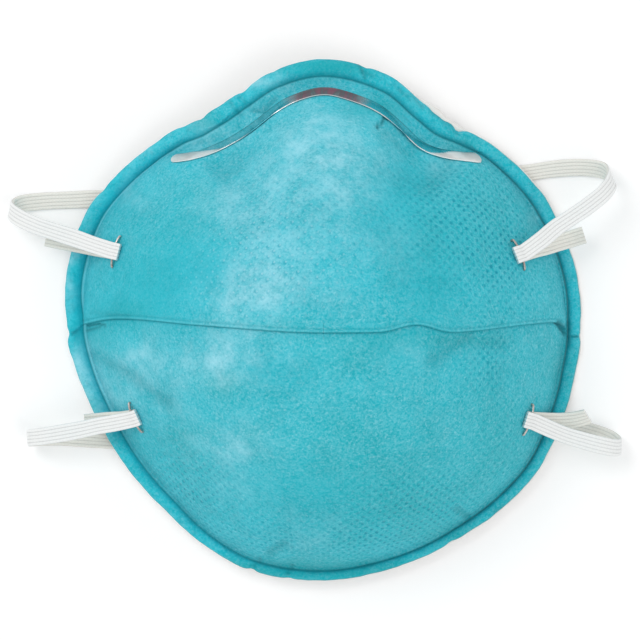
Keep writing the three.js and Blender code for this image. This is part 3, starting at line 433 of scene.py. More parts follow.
def face_height(x, y):
    """Height of the cover's plain outer face above the floor."""
    x, y = np.asarray(x, float), np.asarray(y, float)
    far = np.hypot(x - CROWN[0], y - CROWN[1])
    way = direction(bearing(x, y))
    rim = way["lift"] + WALL
    foot = rim + (way["groove"] - way["foot"]) * SHELF_SLOPE
    rho = far / way["foot"]
    side = smoothstep(rho, *TOP_BLEND)
    top = dome_share(TOP_ROUND, TOP_SHEER, far / TOP_REACH)
    share = top + (dome_share(way["round"], way["sheer"], rho) - top) * side
    dome = foot + (CROWN[2] - foot) * share
    shelf = rim + (way["groove"] - far) * SHELF_SLOPE
    return np.where(far >= way["groove"], rim, np.where(far >= way["foot"], shelf, dome))


def face_point(x, y):
    return np.array([x, y, float(face_height(x, y))])


def unit(vector):
    return vector / np.linalg.norm(vector, axis=-1, keepdims=True)


def face_normal(x, y, step=0.2):
    slope_x = (face_height(x + step, y) - face_height(x - step, y)) / (2 * step)
    slope_y = (face_height(x, y + step) - face_height(x, y - step)) / (2 * step)
    return unit(np.stack([-slope_x, -slope_y, np.ones(np.shape(slope_x))], axis=-1))


def near_line(x, y, row):
    """How far points lie from a crease, as a share of its half width."""
    x0, y0, x1, y1, half = row[:5]
    length = max(math.hypot(x1 - x0, y1 - y0), 1e-6)
    ax, ay = (x1 - x0) / length, (y1 - y0) / length
    along = np.clip((x - x0) * ax + (y - y0) * ay, 0, length)
    return np.hypot(x - x0 - along * ax, y - y0 - along * ay) / half


def patches(x, y, rows):
    """Soft patches added up: each row is x, y, half width, half height, strength."""
    total = np.zeros(np.shape(x))
    for px, py, wide, high, strength in rows:
        total += strength * np.exp(-(((x - px) / wide) ** 2) - ((y - py) / high) ** 2)
    return total


def stripes(away, rows):
    """Soft stripes added up: each row is place, half width, strength."""
    return sum(strength * np.exp(-(((away - place) / half) ** 2)) for place, half, strength in rows)


def ripple(x, y, seed, wavelength, waves=9):
    """Smooth seeded unevenness between about -1 and 1."""
    dice = np.random.default_rng(seed)
    total = np.zeros(np.shape(x))
    for _ in range(waves):
        turn, phase = dice.uniform(0, 2 * math.pi, 2)
        pitch = 2 * math.pi / (wavelength * dice.uniform(0.7, 1.5))
        total += np.sin((x * math.cos(turn) + y * math.sin(turn)) * pitch + phase)
    return total / waves**0.5


def along_rim(at, rows):
    return sum(high * ripple(at * RIM_DEGREE, 0 * at, seed, length) for high, seed, length in rows)


# ---- closed skins -----------------------------------------------------------------------


class Skin:
    """A closed skin drawn from a sphere: rings of points from one pole to the other."""

    def __init__(self, name, rings, first, last):
        rings = np.asarray(rings, float)
        count, size = rings.shape[:2]
        bpy.ops.mesh.primitive_uv_sphere_add(segments=size, ring_count=count + 1, radius=1)
        self.object = bpy.context.object
        self.object.name = self.object.data.name = name
        mesh = self.object.data
        spot = self.points()
        fall = np.arctan2(np.hypot(spot[:, 0], spot[:, 1]), spot[:, 2])
        turn = np.arctan2(spot[:, 1], spot[:, 0])
        self.level = np.rint(fall / math.pi * (count + 1)).astype(int)
        self.turn = np.rint(turn / (2 * math.pi) * size).astype(int) % size
        place = self.spread(rings, first, last)
        mesh.vertices.foreach_set("co", ((place + CUP_MIDDLE) * MM).ravel())
        mesh.update()
        if self.volume() < 0:
            mesh.flip_normals()
        bpy.ops.object.shade_smooth()

    def points(self):
        spot = np.empty(len(self.object.data.vertices) * 3)
        self.object.data.vertices.foreach_get("co", spot)
        return spot.reshape(-1, 3)

    def spread(self, rings, first, last):
        """Values per ring and segment, with one for each pole, as values per vertex."""
        rings = np.asarray(rings, float)
        ends = [np.broadcast_to(np.asarray(end, float), rings[:1].shape) for end in (first, last)]
        return np.concatenate([ends[0], rings, ends[1]])[self.level, self.turn]

    def volume(self):
        """Six times the volume, below zero if the faces point inwards."""
        mesh = self.object.data
        mesh.calc_loop_triangles()
        corners = np.empty(len(mesh.loop_triangles) * 3, int)
        mesh.loop_triangles.foreach_get("vertices", corners)
        a, b, c = (self.points()[corners.reshape(-1, 3)[:, k]] for k in range(3))
        return np.einsum("ij,ij->i", a, np.cross(b, c)).sum()

    def lay_out(self, rings, first, last):
        """Sets the UV map from flat positions in millimetres, kept in metres."""
        flat = self.spread(rings, first, last) * MM
        mesh = self.object.data
        corner = np.empty(len(mesh.loops), int)
        mesh.loops.foreach_get("vertex_index", corner)
        mesh.uv_layers.active.data.foreach_set("uv", flat[corner].ravel())

    def paint(self, name, rings, first, last):
        layer = self.object.data.attributes.new(name, "FLOAT", "POINT")
        layer.data.foreach_set("value", self.spread(rings, first, last))


# ---- the cup ----------------------------------------------------------------------------


def cup_lines(step):
    """Lines from crown to rim: degrees, and for those of the lap its row, with +1 or -1."""
    count = round(180 / step)
    even = [180 * k / count for k in range(1, count)]
    lines = [(0, row, 1) for row in LAP_ABOVE]
    lines += [(at, None, 1) for at in even]
    lines += [(180, row, 1) for row in reversed(LAP_ABOVE)]
    lines += [(180, row, -1) for row in LAP_BELOW]
    lines += [(180 + at, None, -1) for at in even]
    lines += [(0, row, -1) for row in reversed(LAP_BELOW)]
    return lines


def lap_column(lines, column):
    """A column of the lap's rows by line, zero for lines away from the lap."""
    return np.array([row[column] if row else 0.0 for _, row, _ in lines])


def on_lap(lines):
    return np.array([row is not None for _, row, _ in lines])


def cup_plan(lines, stops):
    """Plan position of each stop on each line, pulled along the lap near it."""
    at = np.array([float(line[0]) for line in lines])
    side = np.array([line[2] for line in lines])
    flat, lapped = lap_column(lines, 0), lap_column(lines, 1)
    way = direction(at)
    far = np.array([stop(way) for stop in stops])
    for k in range(len(far) - 2, -1, -1):
        far[k] = np.minimum(far[k], far[k + 1] - LEAST_STEP)
    x = far * np.cos(np.radians(at))
    level = far * np.sin(np.radians(at))
    room = np.where(side > 0, LAP_ABOVE[-1][0], LAP_BELOW[-1][0])
    eased = level + room * np.exp(-((level / LAP_EASE) ** 2))
    beside = np.where(on_lap(lines), flat + (lapped - flat) * lap_fade(x), eased)
    pull = read_table(FOLD, 1, x) * np.exp(-((level / FOLD_PULL) ** 2))
    return x + CROWN[0], beside + CROWN[1] + pull


def lap_fade(x):
    return 1 - smoothstep(np.abs(x), *LAP_REACH)


def lap_relief(x, y, lines):
    """How far the two panels stand off the plain face beside the lap."""
    above = np.array([line[2] > 0 for line in lines])
    away = (y - CROWN[1] - read_table(FOLD, 1, x)) / FOLD_SPREAD
    broad = np.where(above, FOLD_PROUD, -FOLD_SUNK) * np.exp(-(away**2))
    return np.where(on_lap(lines), lap_column(lines, 2), broad) * lap_fade(x)


def crease_relief(x, y):
    """Height of the creases, and the painted shade in them."""
    height, dark = np.zeros(np.shape(x)), np.zeros(np.shape(x))
    for row in CREASES:
        share = np.exp(-(near_line(x, y, row) ** 2))
        height -= row[5] * share
        dark = np.maximum(dark, row[6] * share)
    return height, dark


def pinch_relief(at):
    """How far the rim's edge is drawn in and its crest pressed down, by direction."""
    drawn, pressed = np.zeros(np.shape(at)), np.zeros(np.shape(at))
    for place, width, pull, press in PINCHES:
        away = (at - place + 180) % 360 - 180
        shape = np.exp(-((away / width) ** 2))
        drawn += pull * shape
        pressed += press * shape
    return np.maximum(drawn + along_rim(at, RIM_WANDER), -MOST_OUTWARD), pressed


def between(inner, outer, share):
    """A stop at a share of the way between two marks of a line."""
    return lambda way: way[inner] + (way[outer] - way[inner]) * share


def on_shelf(share):
    room, least = LIP_ROOM
    return lambda way: way["foot"] + np.maximum(way["groove"] - way["foot"] - room, least) * share


def on_lip(inside):
    """A stop beside the groove, closer to it where the shelf is narrow."""
    spare, full = LIP_SPREAD

    def stop(way):
        return way["groove"] - inside * np.minimum((way["groove"] - way["foot"] + spare) / full, 1)

    return stop


def cover_stops():
    """Stops on a line from the crown to the rim's edge: kind, value, and how far out."""
    shares = [0.0002, 0.004, 0.01, 0.02, 0.03, *np.linspace(0.04, 0.8, 76)]
    shares += [*np.linspace(0.805, 0.96, 33), 0.972, 0.985, 1]
    stops = [("dome", share, between("crown", "foot", share)) for share in shares]
    stops += [("shelf", share, on_shelf(share)) for share in (0.25, 0.5, 0.75)]
    stops += [("lip", height, on_lip(inside)) for inside, height, _ in GROOVE_LIP]
    stops += [("rim", share, between("groove", "reach", share)) for share, _ in RIM_SECTION]
    return stops


def add_rim(relief, stops, at, pressed):
    """Adds the puffed rim and the groove beside it to the relief."""
    puff, depth = around(RIM_PUFF, 1, at), around(RIM_PUFF, 3, at)
    flutter = along_rim(at, RIM_FLUTTER) - pressed
    for k, (kind, value, _) in enumerate(stops):
        if kind == "rim":
            height = dict(RIM_SECTION)[value]
            if height > 0:
                relief[k] += height * puff[k] + height / RIM_CREST * flutter[k]
            else:
                relief[k] += height * (depth[k] if value < GROOVE_SHARE else 1)
        if kind == "lip":
            relief[k] += value * (depth[k] if value < 0 else 1)


def inside_groove(x, y, at):
    """How far points lie inside the groove."""
    return np.maximum(direction(at)["groove"] - np.hypot(x - CROWN[0], y - CROWN[1]), 0)


def cover_masks(stops, x, y, at, dark):
    """Where the dye is paler or fuller, and where shade and highlights are painted on, by stop and
    line.
    """
    kind = np.array([stop[0] for stop in stops])[:, None]
    value = np.array([stop[1] for stop in stops])[:, None]
    rim, lip = kind == "rim", kind == "lip"
    pale = {height: share for _, height, share in GROOVE_LIP}
    # painted shade on the rim beside the groove and down the lip into it
    groove_shade = np.where(rim, np.maximum(1 - value / GROOVE_SHADE_REACH, 0) ** 1.6, 0)
    groove_shade = np.where(lip, np.maximum(-value / LIP_DEEP, 0) ** 0.7, groove_shade)
    # painted shade: the band on the rim beside the groove and the dark line in the groove
    band = np.where(rim, np.maximum(1 - value / BAND_REACH, 0), 0)
    line = np.where(rim, np.exp(-((value / LINE_REACH) ** 2)), 0)
    line_share = (-value - LINE_FROM) / (LIP_DEEP - LINE_FROM)
    line = np.where(lip, np.maximum(line_share, 0), line)
    # painted highlight: a pale line along the groove's inner side
    groove_highlight = np.array([pale[stop[1]] if stop[0] == "lip" else 0 for stop in stops])[:, None]
    # painted shade at the foot of the wall, inside the groove
    well = np.where(rim, 0, np.exp(-((inside_groove(x, y, at) / WELL_REACH) ** 2)))
    beside = y - CROWN[1] - read_table(FOLD, 1, x - CROWN[0])
    fade = lap_fade(x - CROWN[0])
    stray_x, stray_y = (CLOUD_STRAY * ripple(x, y, seed, 11) for seed in (43, 47))
    masks = {
        "groove_shade": groove_shade,
        # painted shade in the groove, stronger on some sides
        "groove_shadow": groove_shade * around(RIM_PUFF, 4, at),
        "line": line * around(RIM_LINES, 1, at),
        "band": band * around(RIM_LINES, 2, at),
        "groove_highlight": groove_highlight * around(RIM_LINES, 3, at),
        "well": well * around(RIM_LINES, 4, at),
        "brown": np.where(rim, smoothstep(value, *BROWN_EDGE), 0) * around(RIM_PUFF, 5, at),
        "rim": rim.astype(float),
        # painted highlight along the ridge of the hem
        "hem_highlight": stripes(beside, HEM_HIGHLIGHT_LINES) * fade,
        # painted shadow under the lap's lip and in the crease above it
        "fold_shadow": stripes(beside, FOLD_SHADOW_LINES) * fade,
        # painted shade in the creases
        "crease": dark,
        "cloud": patches(x + stray_x, y + stray_y, CLOUDS),
        "bonds": np.where(rim | lip, 0, patches(x, y, BOND_FIELDS)),
        "glints": np.where(rim | lip, 0, patches(x, y, GLINT_FIELDS)),
        "ridges": patches(x, y, RIDGE_FIELDS),
        # fuller dye, with painted shade under the lap, on the lower right and on the bottom rim
        "deep": patches(x, y, FULLER_DYE_AND_SHADE),
        "vivid": patches(x, y, VIVID),
    }
    return {name: np.clip(mask + 0 * x, 0, 1) for name, mask in masks.items()}


def build_cover():
    lines = cup_lines(COVER_STEP)
    stops = cover_stops()
    x, y = cup_plan(lines, [stop[2] for stop in stops])
    plain = np.stack([x, y, face_height(x, y)], axis=-1)
    normal = face_normal(x, y, NORMAL_STEP)
    kind = np.array([stop[0] for stop in stops])
    normal[np.isin(kind, ("lip", "rim"))] = (0, 0, 1)
    at = bearing(x, y)
    drawn, pressed = pinch_relief(at)
    creased, dark = crease_relief(x, y)
    relief = lap_relief(x, y, lines) + creased + patches(x, y, PUFFS)
    for high, seed, length, waves in SWELLS:
        relief += high * ripple(x, y, seed, length, waves)
    relief = np.where(relief < 0, -DEEPEST * np.tanh(-relief / DEEPEST), relief)
    add_rim(relief, stops, at, pressed)
    top = bed_for_clip(plain + normal * relief[..., None])
    edge = np.array([value if what == "rim" else 0 for what, value, _ in stops])[:, None]
    inward = edge**2 * drawn
    top[..., :2] -= inward[..., None] * heading(at)

    # the underside: back from the edge to the crown, on fewer stops
    keep = [k for k in range(len(stops)) if k % 4 == 0 or kind[k] == "rim" and k % 2 == 0][::-1]
    under = plain[keep] - normal[keep] * COVER
    lift = direction(at)["lift"]
    for row, k in enumerate(keep):
        if kind[k] == "rim":
            under[row, :, 2] = lift[k] + WALL - COVER
            spare = np.maximum(inward[k], UNDER_INSET if stops[k][1] > 0.9 else 0)
            under[row, :, :2] -= spare[:, None] * heading(at[k])
    crown = face_point(CROWN[0], CROWN[1]) + CROWN_DIP
    skin = Skin("moulded_cover", np.concatenate([top, under]), crown, crown - [0, 0, COVER])

    start = np.broadcast_to(crown, plain[:1].shape)
    length = np.cumsum(np.linalg.norm(np.diff(plain, axis=0, prepend=start), axis=-1), axis=0)
    web = length[..., None] * heading(at)
    skin.lay_out(np.concatenate([web, web[keep]]), (0, 0), (0, 0))
    for name, mask in cover_masks(stops, x, y, at, dark).items():
        crown_share = 0.3 if name == "cloud" else 0
        skin.paint(name, np.concatenate([mask, 0 * mask[keep]]), crown_share, 0)
    return skin.object


def build_liner():
    shares = [0.0022, 0.012, 0.03, *np.linspace(0.05, 0.96, 50), 0.98, 1]
    stops = [between("crown", "foot", share) for share in shares]
    stops += [between("foot", "reach", share) for share in (0.2, 0.4, 0.6, 0.8, 0.94, 1)]
    x, y = cup_plan(cup_lines(LINER_STEP), stops)
    plain = np.stack([x, y, face_height(x, y)], axis=-1)
    normal = face_normal(x, y, NORMAL_STEP)
    normal[len(shares) :] = (0, 0, 1)
    at = bearing(x, y)
    drawn, _ = pinch_relief(at[-1])
    shown = LINER_SHOWS * np.maximum(0, heading(at[-1])[:, 0]) + read_table(TONGUE, 1, at[-1])
    show = np.zeros(np.shape(x))
    show[-1] = shown - drawn - LINER_HIDDEN * (shown < 0.1)
    show[-2] = show[-1] * 0.6
    top, under = plain - normal * (COVER + GAP / 2), plain - normal * WALL
    for face in (top, under):
        face[..., :2] += heading(at) * show[..., None]
    under[-1, :, 2] += 0.25
    top[-1, :, 2] -= 0.2
    under += normal * (0.05 * ripple(x, y, 41, 5) - 0.05)[..., None] * (show == 0)[..., None]
    under[..., 2] = np.maximum(under[..., 2], 0)
    rings = np.concatenate([top, under[::-1]])
    crown = face_point(CROWN[0], CROWN[1])
    skin = Skin("moulded_liner", rings, crown - [0, 0, COVER + GAP / 2], crown - [0, 0, WALL])
    skin.lay_out(np.concatenate([plain, plain[::-1]])[..., :2], CROWN[:2], CROWN[:2])
    return skin.object


# ---- sweeps -----------------------------------------------------------------------------


def through(points, steps):
    """A smooth curve through points, with the segment and share of each sample."""
    points = np.asarray(points, float)
    padded = np.concatenate([[2 * points[0] - points[1]], points, [2 * points[-1] - points[-2]]])
    samples, places = [], []
    for k in range(len(points) - 1):
        p0, p1, p2, p3 = padded[k : k + 4]
        pairs = ((p0, p1), (p1, p2), (p2, p3))
        d0, d1, d2 = (max(float(np.linalg.norm(b - a)) ** 0.5, 1e-4) for a, b in pairs)
        t1 = ((p1 - p0) / d0 - (p2 - p0) / (d0 + d1) + (p2 - p1) / d1) * d1
        t2 = ((p2 - p1) / d1 - (p3 - p1) / (d1 + d2) + (p3 - p2) / d2) * d1
        second, third = 3 * (p2 - p1) - 2 * t1 - t2, 2 * (p1 - p2) + t1 + t2
        last = steps + 1 if k == len(points) - 2 else steps
        for s in range(last):
            t = s / steps
            samples.append(p1 + t1 * t + second * t**2 + third * t**3)
            places.append(k + t)
    return np.array(samples), np.array(places)


def resampled(want, run, table):
    return np.stack([np.interp(want, run, table[:, c]) for c in range(table.shape[1])], axis=-1)


def evenly(samples, spacing, other):
    """Samples and what goes with them, respaced evenly along their run."""
    run = np.concatenate([[0], np.cumsum(np.linalg.norm(np.diff(samples, axis=0), axis=1))])
    want = np.linspace(0, run[-1], max(round(run[-1] / spacing), 2) + 1)
    return want, resampled(want, run, samples), resampled(want, run, other)


def squared(place, across):
    """Directions along, across and up at each place of a run."""
    along = unit(np.gradient(place, axis=0))
    across = unit(across - along * (across * along).sum(axis=1, keepdims=True))
    return along, across, -np.cross(across, along)


def swept(place, sideways, across, upward, up):
    """Rings round a run, from how far each point lies sideways and upward."""
    return place[:, None] + across[:, None] * sideways[..., None] + up[:, None] * upward[..., None]


def anchor_frame(name):
    x, y, lean, side = ANCHORS[name]
    origin, up = face_point(x, y), face_normal(x, y)
    lean = math.radians(lean)
    crown = np.array([-math.sin(lean), math.cos(lean), 0.0])
    crown = unit(crown - up * crown.dot(up))
    out = np.cross(crown, up) * side
    return origin, up, crown, out


def end_points(name):
    """The stretch doubled back over a staple, from the tail to the run."""
    origin, up, crown, out = anchor_frame(name)
    places = [(END_RUN, TAIL_HIGH), (0, TAIL_HIGH)]
    for turn in range(0, 181, 45):
        far = TURN_OUT - TURN_RADIUS * math.sin(math.radians(turn))
        places.append((far, WIRE_HIGH - TURN_RADIUS * math.cos(math.radians(turn))))
    places += [(0, TOP_HIGH), (END_RUN, TOP_HIGH)]
    return [(origin + out * far + up * high, crown) for far, high in places]


def route_point(x, y, z, lean, tip=0):
    lean, tip = math.radians(lean), math.radians(tip)
    wide = (-math.sin(lean) * math.cos(tip), math.cos(lean) * math.cos(tip), math.sin(tip))
    return np.array([x, y, z]), np.array(wide)


def strap_section(thick, width):
    """A ribbed band in section: sideways, upward, and which face each point is on."""
    half = np.sin(np.linspace(-math.pi / 2, math.pi / 2, 36))
    side = np.concatenate([half, half[-2:0:-1]])
    face = np.concatenate([np.ones(len(half)), -np.ones(len(half) - 2)])
    rib = np.abs(np.cos(side * STRAP_RIBS * math.pi / 2)) ** 0.6
    edge = np.clip(1 - np.abs(side) ** 12, 0, 1) ** 0.5
    high = face * edge * (thick[:, None] / 2 - RIB_DEEP + RIB_DEEP * rib)
    return width[:, None] * side, high, side, face


def build_strap(name):
    strap = STRAPS[name]
    route = [route_point(*row) for row in strap["left_tail"]]
    route += end_points(strap["left"])
    route += [route_point(*row) for row in strap["left_run"]]
    route += [route_point(*row) for row in reversed(strap["right_run"])]
    route += list(reversed(end_points(strap["right"])))
    route += [route_point(*row) for row in reversed(strap["right_tail"])]
    samples, places = through([point for point, _ in route], 12)  # steps for each row
    wide = np.array([towards for _, towards in route])
    low = np.minimum(places.astype(int), len(route) - 2)
    share = (places - low)[:, None]
    wide = wide[low] * (1 - share) + wide[low + 1] * share
    run, place, wide = evenly(samples, 0.9, wide)
    along, across, up = squared(place, wide)
    clear = (np.abs(up[:, 2]) * STRAP_THICK + np.abs(across[:, 2]) * STRAP_WIDTH) / 2
    place[:, 2] = np.maximum(place[:, 2], clear)

    wires = [anchor_frame(strap[end])[0] for end in ("left", "right")]
    apart = np.min([np.linalg.norm(place - origin, axis=1) for origin in wires], axis=0)
    thick = PINCHED_THICK + (STRAP_THICK - PINCHED_THICK) * smoothstep(apart, *PINCH_RUN)
    wander = 0.04 * np.sin(run / 5.3) + 0.03 * np.sin(run / 2.1 + 1)
    sideways, high, side, face = strap_section(thick, STRAP_WIDTH / 2 - 0.04 + wander)
    rings = swept(place, sideways, across, high, up)
    skin = Skin(name.replace("strap", "elastic"), rings, place[0], place[-1])
    even = 0 * sideways
    flat = np.stack([run[:, None] + even, side * STRAP_WIDTH / 2 + even], axis=-1)
    skin.lay_out(flat, (0, 0), (run[-1], 0))
    outer = np.sign(up[np.argmin(np.abs(run - 30)), 2])
    skin.paint("inner", np.clip(-face * outer, 0, 1) + even, 0, 0)
    bpy.ops.object.shade_smooth_by_angle(angle=math.radians(55))
    return skin.object


def clip_station(x, y, towards):
    """Middle of the strip and the way across it, laid on the face from its lower edge."""
    line = np.array([x, y]) + np.arange(0, 6, 0.05)[:, None] * heading(towards)
    spots = np.concatenate([line, face_height(line[:, 0], line[:, 1])[:, None]], axis=1)
    upper = spots[np.argmax(np.linalg.norm(spots - spots[0], axis=1) >= CLIP_WIDTH)]
    return (spots[0] + upper) / 2, unit(upper - spots[0])


def among(values, reach, what):
    """The largest or the mean, as asked, of each value and its neighbours."""
    wide = np.pad(values, reach, mode="edge")
    return np.array([what(wide[k : k + 2 * reach + 1]) for k in range(len(values))])


def clip_course():
    """The strip's middle line: run, points, and the directions along, across and off the face."""
    rows, _ = through(CLIP, 18)
    middle, across = (np.array(column) for column in zip(*(clip_station(*row) for row in rows)))
    run, middle, across = evenly(middle, 0.8, across)
    along, across, up = squared(middle, across)
    lifts = np.zeros(len(run))
    for share in np.linspace(-0.5, 0.5, 9):
        under = middle + across * share * CLIP_WIDTH
        for k, (x, y, z) in enumerate(under):
            normal = face_normal(x, y)
            sunk = (float(face_height(x, y)) - z) * normal[2] / max(normal.dot(up[k]), 0.5)
            lifts[k] = max(lifts[k], sunk)
    raised = among(among(lifts, 5, np.max), 5, np.mean)
    middle = middle + up * (raised + CLIP_SEAT + CLIP_GAUGE / 2 - CLIP_PRESSED)[:, None]
    tip = np.radians(read_table(CLIP_TIP, 1, middle[:, 0]))[:, None]
    across, up = across * np.cos(tip) - up * np.sin(tip), up * np.cos(tip) + across * np.sin(tip)
    return run, middle, along, across, up


def bed_for_clip(spots):
    """Points of the cloth, pressed down under the strip and raised to meet its lower edge."""
    _, middle, along, across, up = clip_course()
    near = (spots[..., 1] > CLIP[0][1] - 5) & (np.abs(spots[..., 0]) < CLIP[-1][0] + 4)
    cloth = spots[near]
    parts = [part[:, None] - middle[None] for part in np.array_split(cloth, 40)]
    beside = np.concatenate([np.argmin(np.linalg.norm(part, axis=-1), axis=1) for part in parts])
    away = cloth - middle[beside]
    over = (away * across[beside]).sum(axis=1)
    level = (away * up[beside]).sum(axis=1)
    side = np.abs(over) - CLIP_WIDTH / 2
    ahead = np.abs((away * along[beside]).sum(axis=1)) - 0.8
    bottom = -CLIP_GAUGE / 2 - BED_CLEAR
    roof = BED_SIDE * (np.maximum(side, 0) + np.maximum(ahead, 0)) + bottom
    drop = np.clip(level - roof, 0, BED_DEEP)
    below = -over - CLIP_WIDTH / 2
    hug = (1 - smoothstep(below, 0, BED_FALL)) * smoothstep(below, -CLIP_WIDTH, -CLIP_WIDTH / 2)
    hug *= 1 - smoothstep(ahead, 0, BED_FALL)
    lift = np.clip(bottom - level, 0, BED_RAISED) * hug
    spots[near] = cloth + up[beside] * (lift - drop)[:, None]
    return spots


def clip_section():
    """Points round the strip: side, face, and the way off the corner's centre."""
    section = []
    for side, level, start in ((1, 1, 0), (-1, 1, 90), (-1, -1, 180), (1, -1, 270)):
        rounded = [(side, *(CLIP_CORNER * step)) for step in heading(start + 22.5 * np.arange(5))]
        flats = [(share * side, 0, level * CLIP_CORNER) for share in (0.97, 0.85, 0.7, 0.5, 0.3, 0.1)]
        ordered = rounded + flats if start in (0, 180) else flats[::-1] + rounded
        section += [(place, level, far, high) for place, far, high in ordered]
    return np.array(section).T


def build_clip():
    run, *course = clip_course()
    radius = CLIP_WIDTH / 2
    turn = np.radians(np.linspace(6, 90, 9))
    ends = radius * (1 - np.cos(turn) ** CLIP_SQUARE)
    inner = run[(run > radius + 0.3) & (run < run[-1] - radius - 0.3)]
    stops = np.concatenate([ends, inner, run[-1] - ends[::-1]])
    width = np.concatenate([np.sin(turn), np.ones(len(inner)), np.sin(turn[::-1])])[:, None]
    width = radius * width**CLIP_SQUARE
    middle, along, across, up = (resampled(stops, run, table) for table in course)
    place, level, far, high = clip_section()
    inset = np.minimum(width * 0.5, CLIP_CORNER)
    sideways = place * (width - inset) + far * (inset / CLIP_CORNER)
    upward = level * (CLIP_GAUGE / 2 - CLIP_CORNER) + high + 0 * sideways
    from_end = np.minimum(stops, run[-1] - stops)[:, None] + 0 * sideways
    outward = np.sign(stops - run[-1] / 2)[:, None] * (1 - smoothstep(from_end, 0, 6))
    rings = swept(middle, sideways, unit(across), upward, unit(up))
    rings += unit(along)[:, None] * (CLIP_SKEW * outward * sideways)[..., None]
    skin = Skin("clip_strip", rings, middle[0], middle[-1])
    flat = np.stack([stops[:, None] + 0 * sideways, sideways], axis=-1)
    skin.lay_out(flat, (0, 0), (run[-1], 0))

    gleam = read_table(CLIP_GLEAM, 1, middle[:, 0])[:, None]
    # a rougher, paler wedge at each end: a duller finish, with a painted reflection of the pale floor
    dull = sideways / radius + 2.4 * smoothstep(from_end, 5, 17)
    # painted shade along the strip's upper edge, away from its ends
    upper_side = smoothstep(sideways - width, -0.75, -0.1) * smoothstep(from_end, 6, 12)
    lower_side = 1 - smoothstep(sideways + width, 0.12, 0.25)
    skin.paint("dull", 1 - smoothstep(dull, 0.7, 1.2), 1, 1)
    # painted reflection: the middle of the strip darkened and reddened, less metallic, for something
    # dark red it mirrors
    skin.paint("dark", smoothstep(from_end, 32, 37), 0, 0)
    # painted highlight along the lower edge
    skin.paint("edge", (sideways < 0.02 - width) * gleam, 1, 1)
    # painted reflection of the teal cloth on the lower edge where it has no highlight
    skin.paint("sunk", lower_side * (1 - gleam), 0, 0)
    skin.paint("rim", upper_side, 0, 0)
    bpy.ops.object.shade_smooth_by_angle(angle=math.radians(50))
    return skin.object


def build_staple(name):
    origin, up, crown, out = anchor_frame(name)
    reach = STAPLE_SPAN / 2 - STAPLE_WIRE / 2
    bend, deep = STAPLE_BEND, STAPLE_LEG + STAPLE_WIRE / 2
    half = [
        (reach - STAPLE_CLINCH, -deep - 0.5),
        (reach - bend, -deep - 0.1),
        (reach - bend * 0.2, -deep + bend * 0.5),
        (reach, -deep + bend * 1.4),
        (reach, STAPLE_SEAT - bend * 1.2),
        (reach - bend * 0.15, STAPLE_SEAT - bend * 0.3),
        (reach - bend * 0.7, STAPLE_SEAT),
        (reach * 0.6, WIRE_HIGH - 0.12),
        (reach * 0.25, WIRE_HIGH),
    ]
    outline = [(-along, high) for along, high in half] + half[::-1]
    bends = [origin + crown * along + up * high for along, high in outline]
    samples, _ = through(bends, 5)
    upward = np.cross(unit(np.gradient(samples, axis=0)), out)
    round_wire = STAPLE_WIRE / 2 * heading(np.arange(0, 360, 30))
    rings = samples[:, None] + out * round_wire[:, :1] + upward[:, None] * round_wire[:, 1:]
    return Skin(f"wire_{name}", rings, samples[0], samples[-1]).object


# ---- materials --------------------------------------------------------------------------


class Nodes:
    """Adds nodes to a tree and joins them, each set by its socket names."""

    def __init__(self, tree):
        self.tree = tree

    def add(self, kind, inputs=None, **settings):
        node = self.tree.nodes.new(kind)
        for key, value in settings.items():
            setattr(node, key, value)
        for key, value in (inputs or {}).items():
            self.join(node.inputs[key], value)
        return node

    def join(self, socket, value):
        if isinstance(value, bpy.types.NodeSocket):
            self.tree.links.new(value, socket)
        elif value is not None:
            socket.default_value = (*value, 1) if socket.type == "RGBA" else value

    def operation(self, kind, operation, values):
        node = self.add(kind, operation=operation)
        for socket, value in zip(node.inputs, values):
            self.join(socket, value)
        return node.outputs

    def math(self, operation, *values):
        return self.operation("ShaderNodeMath", operation, values)[0]

    def vector(self, operation, *values, out=0):
        return self.operation("ShaderNodeVectorMath", operation, values)[out]

    def times(self, first, *others):
        for other in others:
            first = self.math("MULTIPLY", first, other)
        return first

    def noise(self, vector, scale, detail=2.0, roughness=0.5, distortion=0.0):
        keys = ("Vector", "Scale", "Detail", "Roughness", "Distortion")
        inputs = dict(zip(keys, (vector, scale, detail, roughness, distortion)))
        return self.add("ShaderNodeTexNoise", inputs).outputs["Fac"]

    def span(self, value, low, high, new_low=0.0, new_high=1.0):
        inputs = dict(enumerate((value, low, high, new_low, new_high)))
        node = self.add("ShaderNodeMapRange", inputs, interpolation_type="SMOOTHSTEP")
        return node.outputs[0]

    def blend(self, factor, a, b, kind="MIX"):
        node = self.add("ShaderNodeMix", data_type="RGBA", blend_type=kind)
        for socket, value in ((node.inputs[0], factor), (node.inputs[6], a), (node.inputs[7], b)):
            self.join(socket, value)
        return node.outputs[2]

    def mask(self, name, share=1):
        mask = self.add("ShaderNodeAttribute", attribute_name=name).outputs["Fac"]
        return mask if share == 1 else self.math("MULTIPLY", mask, share)

    def without(self, name, share):
        """One, less a share of a mask."""
        return self.math("MULTIPLY_ADD", self.mask(name), -share, 1.0)

    def group(self, group, **inputs):
        return self.add("ShaderNodeGroup", inputs, node_tree=group).outputs

    def bump(self, height, strength, distance, under=None):
        inputs = {"Height": height, "Strength": strength, "Distance": distance, "Normal": under}
        return self.add("ShaderNodeBump", inputs).outputs[0]

    def place(self):
        return self.add("ShaderNodeTexCoord").outputs["Object"]

    def flat(self):
        return self.add("ShaderNodeUVMap", uv_map="UVMap").outputs[0]


